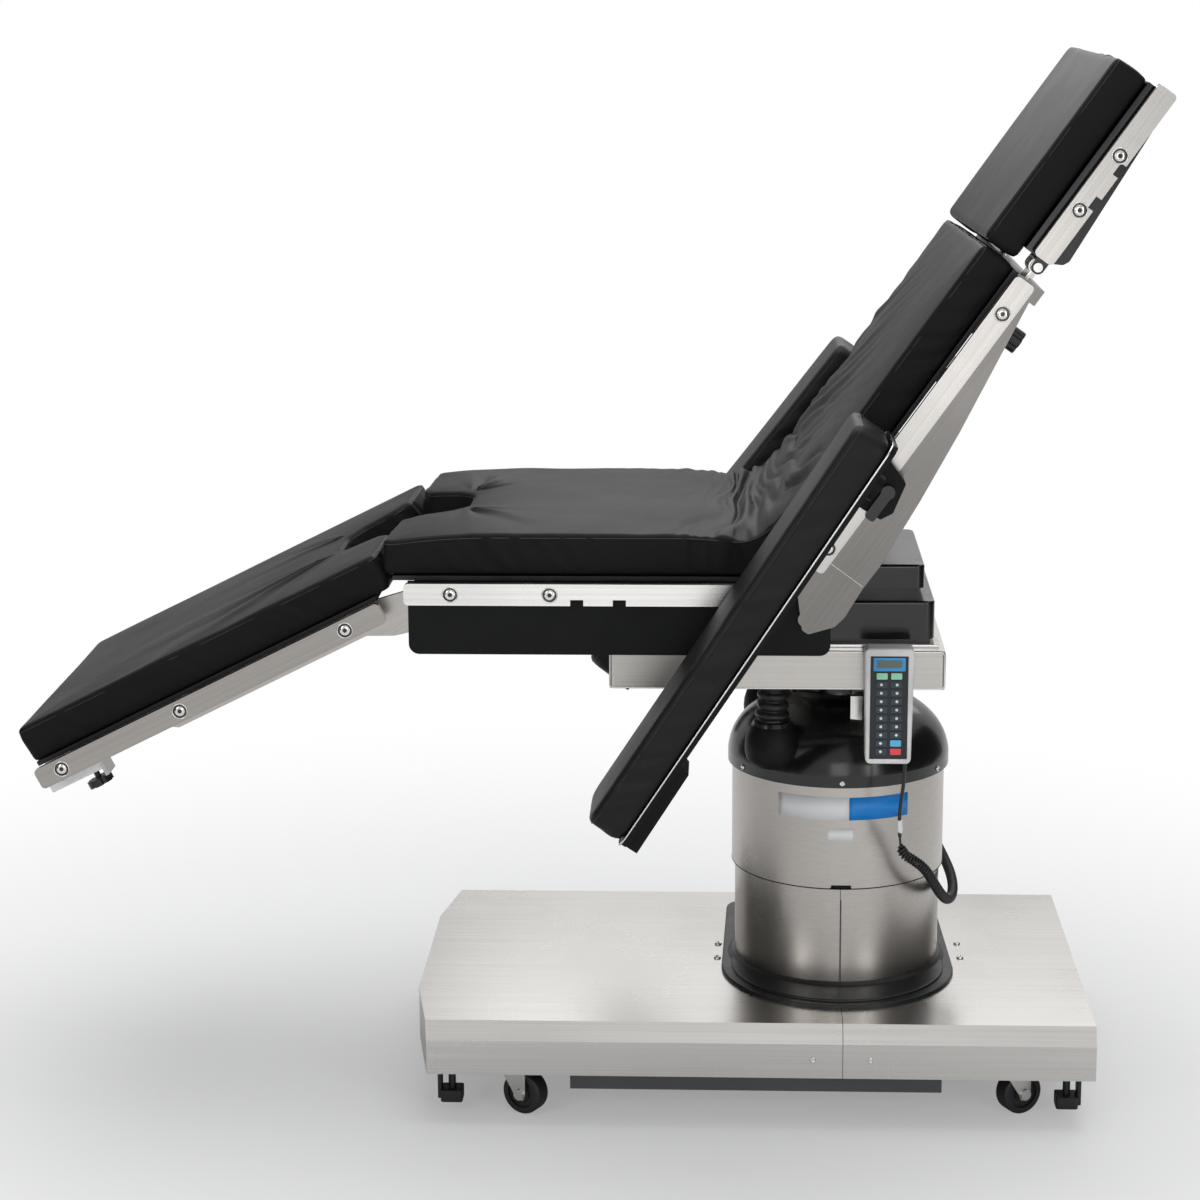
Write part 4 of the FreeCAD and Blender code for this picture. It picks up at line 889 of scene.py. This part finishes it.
rail_face = 285.0
rail_middle = 34.0
seat_rail_height = 731.0
rail_bolts = {
    "seat": (COLUMN, (-514.5, -385.6, -140.0), seat_rail_height),
    "leg": (LEG, (-99.5, -345.4, -524.1), rail_middle),
    "back": (BACK, (94.5, 464.0), rail_middle),
    "head": (BACK, (622.8, 704.8), rail_middle),
}


bolt_layers = (
    # The gloss black layers are painted shade: the shade in each bolt's counterbore and in its hex socket.
    ("recess_painted_shade", "gloss", ((8.9, -1.4), (8.9, -1.1)), 24),
    ("heads", "bright", ((6.9, -1.0), (6.9, 0.0), (6.2, 0.7), (3.4, 0.9)), 24),
    ("socket_painted_shade", "gloss", ((3.2, 0.2), (3.2, 1.0)), 6),
)


def make_rail_bolts():
    """Turned rim and head of each socket bolt in the side rails, with a gloss black disc in the counterbore
    and a gloss black hexagon on the head that paint the shade of the recess and of the hex socket.
    """
    for body, (base, places, height) in rail_bolts.items():
        seats = [facing((x, side * rail_face, height), (0, side, 0)) for x in places for side in (-1, 1)]
        rims = merged([(torus(9.9, 0.85), seat) for seat in seats])
        piece(body + "_bolt_rims", rims, "bright", body, base)
        for part, finish, profile, steps in bolt_layers:
            layer = merged([(lathe(profile, steps), seat) for seat in seats])
            piece(body + "_bolt_" + part, layer, finish, body, base, smooth=finish == "bright")


gaiter_x = -94.0
gaiter_y = 110.0
gaiter_low = 519.0
gaiter_folds = 4
gaiter_pitch = 13.5


def make_gaiters():
    """Rubber bellows round the tilt cylinders: full soft folds between narrow waists, and a plain cuff."""
    profile = [(20.5, gaiter_low), (21.5, gaiter_low + 1.5)]
    for i in range(gaiter_folds):
        for k in range(8):
            t = k / 8
            swell = math.sin(math.pi * t) ** 0.7
            height = gaiter_low + 3 + (i + t) * gaiter_pitch
            profile.append((18.2 - 0.8 * i + (5.6 - 0.5 * i) * swell, height))
    end = gaiter_low + 3 + gaiter_folds * gaiter_pitch
    profile += [(15.6, end), (15.0, end + 2), (14.6, end + 8), (13.6, end + 10)]
    parts = []
    for side in (-1, 1):
        bm = lathe(profile, 40)
        for v in bm.verts:
            turn = math.atan2(v.co.y, v.co.x)
            dent = noise.noise(Vector((1.6 * math.cos(turn), 1.6 * math.sin(turn), v.co.z / 9 + side)))
            grow = 1 + 0.09 * dent
            v.co.x *= grow
            v.co.y *= grow
            v.co.z += 1.6 * math.sin(turn + side) * min(1.0, (v.co.z - gaiter_low) / 12)
        parts.append((bm, Matrix.Translation((gaiter_x, side * gaiter_y, 0))))
    bellows = piece("bellows", merged(parts), "rubber", "lift", COLUMN)
    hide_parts("gaiters")


def make_screws():
    """Screws of the base's skirt and deck, and of the cap's rim."""
    for x in (-39.5, 37.0):
        screw("skirt_screw_%d" % (x > 0), (x, -286, 98), (0, -1, 0), 4.2, "base")
    for i, (x, y) in enumerate(((-167, 38), (-168, -21), (176, 48), (176, -12))):
        screw("deck_screw_%d" % i, (x, y, 145), (0, 0, 1), 5.0, "base")
    for i in range(6):
        a = math.radians(-90 + 60 * i)
        out = (math.cos(a), math.sin(a), 0)
        screw("rim_screw_%d" % i, (154 * out[0], 154 * out[1], 443), out, 4.0, "lift")


keypad_x = 57.0         # middle of the keypad
keypad_y = -223.4       # and its face
keypad_top = 647.0
key_rows = 10
key_pitch = 11.4
key_kinds = {(0, -1): "key_green", (0, 1): "key_green", (8, 1): "key_blue", (9, 1): "key_red"}


def tile(name, x, z, wide, high, deep, finish):
    """Thin plate with round corners on the face of the keypad."""
    corners = [(-wide / 2, -high / 2), (wide / 2, -high / 2), (wide / 2, high / 2), (-wide / 2, high / 2)]
    flat = Matrix.Translation((x, keypad_y, z)) @ Matrix.Rotation(math.radians(90), 4, "X")
    plate = prism(rounded(corners, 1.4, 3), 0, deep)
    piece(name, plate, finish, "pendant", COLUMN @ flat, smooth=False)


def make_pendant_keys():
    """Screen with its frame, and two columns of membrane keys."""
    tile("screen_frame", keypad_x, keypad_top - 21, 42, 18, 0.5, "bezel")
    tile("screen_glass", keypad_x, keypad_top - 20.5, 33, 10, 0.9, "screen")
    for row in range(key_rows):
        z = keypad_top - 37 - row * key_pitch
        for column in (-1, 1):
            x = keypad_x + column * 9.5
            kind = key_kinds.get((row, column), "key_slate")
            tile("key_%d_%d" % (row, column), x, z, 14.4, 8.6, 0.45, kind)
            if kind == "key_slate":
                spot = lathe([(1.9, 0.0), (1.9, 0.75)], 16)
                piece("key_mark_%d_%d" % (row, column), spot, "key_white", "pendant",
                      COLUMN @ facing((x + 0.8 * column, keypad_y, z), (0, -1, 0)), smooth=False)


def curved_plate(name, start, end, low, high, radius, finish, thick=0.3):
    """Thin plate that lies on a round shroud between two widths and two heights."""
    bm = bmesh.new()
    steps = 14
    section = ((radius, low), (radius, high), (radius - thick, high), (radius - thick, low))
    rows = []
    for k in range(steps + 1):
        a = math.asin((start + (end - start) * k / steps) / radius)
        rows.append([bm.verts.new((r * math.sin(a), -r * math.cos(a), z)) for r, z in section])
    for one, two in zip(rows, rows[1:]):
        for k in range(4):
            bm.faces.new((one[k], two[k], two[(k + 1) % 4], one[(k + 1) % 4]))
    bm.faces.new(rows[0])
    bm.faces.new(list(reversed(rows[-1])))
    piece(name, bm, finish, "lift", COLUMN)


def make_bosses():
    """Matt egg-shaped swelling of the cap under each gaiter, drawn over the solid's plainer one."""
    profile = [(6.0, 451.6), (14.0, 452.8), (20.5, 455), (29.2, 460), (34.8, 466), (37.2, 474), (37.8, 484),
               (36.8, 494), (33.8, 504), (29.8, 512), (26.0, 517), (23.8, 520), (19.0, 520.6)]
    places = [(lathe(profile, 48), Matrix.Translation((gaiter_x, side * gaiter_y, 0))) for side in (-1, 1)]
    piece("cap_bosses", merged(places), "boss", "lift", COLUMN)


def circle(radius, height, steps=96):
    """Points of a level circle about the column."""
    turns = [2 * math.pi * k / steps for k in range(steps)]
    return [(radius * math.cos(a), radius * math.sin(a), height) for a in turns]


def make_column_trim():
    """Plain plates and a dark notch on the upper shroud, and a thin rubber bead round its lower edge whose
    dark colour also paints the shadow in the gap under it; a dark joint down the lower shroud, and bright
    beads on the back plates' joints that paint the highlight of their edges.
    """
    curved_plate("plate_left", -85, 10, 389, 421, 148.4, "plate_silver")
    curved_plate("plate_right", 10.4, 91, 389, 421, 148.4, "plate_blue")
    curved_plate("label", -19, 17, 360, 377, 148.35, "plate_white")
    curved_plate("hem_notch", -13, 14, 291, 296.5, 148.5, "cover", thick=1.5)
    line("shroud_joint", [(1.0, -143.6, 274), (1.5, -143.6, 152)], 0.0005, "cover", "base",
         COLUMN)
    # Thin rubber bead at the upper shroud's lower edge. Its dark colour also paints the shadow in the gap
    # under that edge.
    line("shroud_edge_bead_painted_shadow", circle(147.4, 291.2), 0.0011, "rubber", "lift", COLUMN, cyclic=True)
    # Bright steel beads along the joints of the back plates, which paint the highlight on the joint's edge.
    for side, y in (("near", -272.2), ("far", 272.2)):
        line("back_plate_joint_highlight_" + side, [(79, y, 26), (78, y, -34)], 0.0005, "bright", "back",
             BACK)


saddle_corner = 0.005
# The bright beads paint the highlight of the rounded face edges; the dark beads are the joints at the end
# caps.
saddle_highlight_and_joint_lines = (("bright", 0.001, 0.0010, 0.0006), ("cover", 0.0002, 0.0007, 0.0030))


def make_saddle_highlights_and_joints():
    """Bright steel beads round the beam's front and rear faces that paint the highlight of their rounded
    edges, and the dark joint at its end caps.
    """
    low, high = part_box("saddle_beam")
    for side, y in (("near", low[1]), ("far", high[1])):
        for finish, gap, radius, deep in saddle_highlight_and_joint_lines:
            level = y + (deep if y == low[1] else -deep)
            left = low[0] + gap
            right_end = high[0] - gap
            under = low[2] + gap
            over = high[2] - gap
            corners = rounded([(left, under), (right_end, under), (right_end, over), (left, over)],
                              saddle_corner)
            line("saddle_%s_%s" % (finish, side), [(x, level, z) for x, z in corners], radius, finish,
                 "saddle", cyclic=True)


make_screws()
make_saddle_highlights_and_joints()
make_rail_bolts()
make_gaiters()
make_bosses()
make_pendant_keys()
make_column_trim()


# Stage: floor, world and lights

world_fill = 0.42
world_gloss = 0.58
floor_glow_near = 0.3
floor_glow_glossy = 0.45
glow_start = 0.45       # distances from the table's middle between which the floor turns white
glow_end = 1.9
white = (1, 1, 1, 1)
lights = (
    # name, place, width and height, power
    ("overhead", (0.1, 0.3, 3.2), (3.4, 2.2), 46),
    ("front_left", (-2.4, -3.4, 2.0), (0.9, 2.2), 16),
    ("front_right", (2.2, -3.0, 1.1), (0.7, 2.0), 12),
    ("rear", (0.8, 3.2, 2.4), (3.0, 1.4), 20),
    ("front_centre", (0.3, -5.6, 1.3), (1.7, 2.4), 20),
)
lights_aim = Vector((0, 0, 0.7))


def plain_material(name, level, rough):
    """A material of one even grey."""
    material = bpy.data.materials.new(name)
    material.use_nodes = True
    shader = material.node_tree.nodes["Principled BSDF"]
    shader.inputs["Base Color"].default_value = (level, level, level, 1)
    shader.inputs["Roughness"].default_value = rough
    return material


def lit(node, colour, strength):
    """Sets the colour and strength of an emission or background node."""
    node.inputs["Color"].default_value = colour
    node.inputs["Strength"].default_value = strength
    return node


def combined(nodes, links, operation, first, second):
    """Result of a Math node between two outputs."""
    node = nodes.new("ShaderNodeMath")
    node.operation = operation
    links.new(first, node.inputs[0])
    links.new(second, node.inputs[1])
    return node.outputs["Value"]


def mixed(nodes, links, share, first, second):
    """Mix of two shaders by the share of the second."""
    node = nodes.new("ShaderNodeMixShader")
    links.new(share, node.inputs["Fac"])
    links.new(first, node.inputs[1])
    links.new(second, node.inputs[2])
    return node.outputs["Shader"]


def seen_rays(nodes, links, rays):
    """One for rays that reach the camera straight or through glass."""
    straight = rays.outputs["Is Camera Ray"]
    return combined(nodes, links, "MAXIMUM", straight, rays.outputs["Is Transmission Ray"])


def make_floor():
    """Light floor that turns to even white away from the table."""
    bm = bmesh.new()
    bmesh.ops.create_circle(bm, cap_ends=True, radius=9.0, segments=64)
    floor = add_object("floor", mesh_of("floor", bm))
    floor.location = (0, 0, -0.0005)
    material = plain_material("floor_white", 0.93, 0.7)
    floor.data.materials.append(material)
    nodes = material.node_tree.nodes
    links = material.node_tree.links
    shader = nodes["Principled BSDF"]
    shader.inputs["Specular IOR Level"].default_value = 0.2
    glow = lit(nodes.new("ShaderNodeEmission"), white, 1.0)
    place = nodes.new("ShaderNodeTexCoord")
    distance = nodes.new("ShaderNodeVectorMath")
    distance.operation = "LENGTH"
    links.new(place.outputs["Object"], distance.inputs[0])

    def fade(low, high):
        """White share of the floor, from near the object to far off."""
        spread = nodes.new("ShaderNodeMapRange")
        spread.interpolation_type = "SMOOTHSTEP"
        spread.inputs["From Min"].default_value = glow_start
        spread.inputs["From Max"].default_value = glow_end
        spread.inputs["To Min"].default_value = low
        spread.inputs["To Max"].default_value = high
        links.new(distance.outputs["Value"], spread.inputs["Value"])
        return spread.outputs["Result"]

    rays = nodes.new("ShaderNodeLightPath")
    direct = combined(nodes, links, "MULTIPLY", seen_rays(nodes, links, rays), fade(floor_glow_near, 1.0))
    mirrored = combined(nodes, links, "MULTIPLY", rays.outputs["Is Glossy Ray"], fade(0.0, floor_glow_glossy))
    share = combined(nodes, links, "ADD", direct, mirrored)
    surface = mixed(nodes, links, share, shader.outputs["BSDF"], glow.outputs["Emission"])
    links.new(surface, nodes["Material Output"].inputs["Surface"])


def make_world():
    """Soft fill on surfaces, a little more in reflections, and white behind the table."""
    world = bpy.data.worlds.new("studio")
    bpy.context.scene.world = world
    world.use_nodes = True
    nodes = world.node_tree.nodes
    links = world.node_tree.links
    fill = lit(nodes["Background"], (0.95, 0.97, 1.0, 1), world_fill)
    gloss = lit(nodes.new("ShaderNodeBackground"), white, world_gloss)
    backdrop = lit(nodes.new("ShaderNodeBackground"), white, 1.0)
    rays = nodes.new("ShaderNodeLightPath")
    soft = mixed(nodes, links, rays.outputs["Is Glossy Ray"], fill.outputs["Background"],
                 gloss.outputs["Background"])
    surface = mixed(nodes, links, seen_rays(nodes, links, rays), soft, backdrop.outputs["Background"])
    links.new(surface, nodes["World Output"].inputs["Surface"])


def flag(name, x):
    """Dark studio screen beside the table. It shades the sides of the round column."""
    bm = bmesh.new()
    corners = ((x, -3.0, 0.0), (x, 2.6, 0.0), (x, 2.6, 2.4), (x, -3.0, 2.4))
    bm.faces.new([bm.verts.new(c) for c in corners])
    screen = add_object(name, mesh_of(name, bm))
    screen.data.materials.append(plain_material(name, 0.03, 0.9))
    screen.visible_camera = False
    screen.visible_shadow = False


def area_light(name, place, size, power):
    """Rectangular light that faces the table."""
    light = bpy.data.lights.new(name, "AREA")
    light.shape = "RECTANGLE"
    light.size, light.size_y = size
    light.energy = power
    start = Vector(place)
    aim = (lights_aim - start).to_track_quat("-Z", "Y").to_matrix().to_4x4()
    add_object(name, light).matrix_world = Matrix.Translation(start) @ aim


make_floor()
make_world()
flag("screen_left", -3.1)
flag("screen_right", 3.1)
for name, place, size, power in lights:
    area_light(name, place, size, power)

bpy.context.view_layer.update()
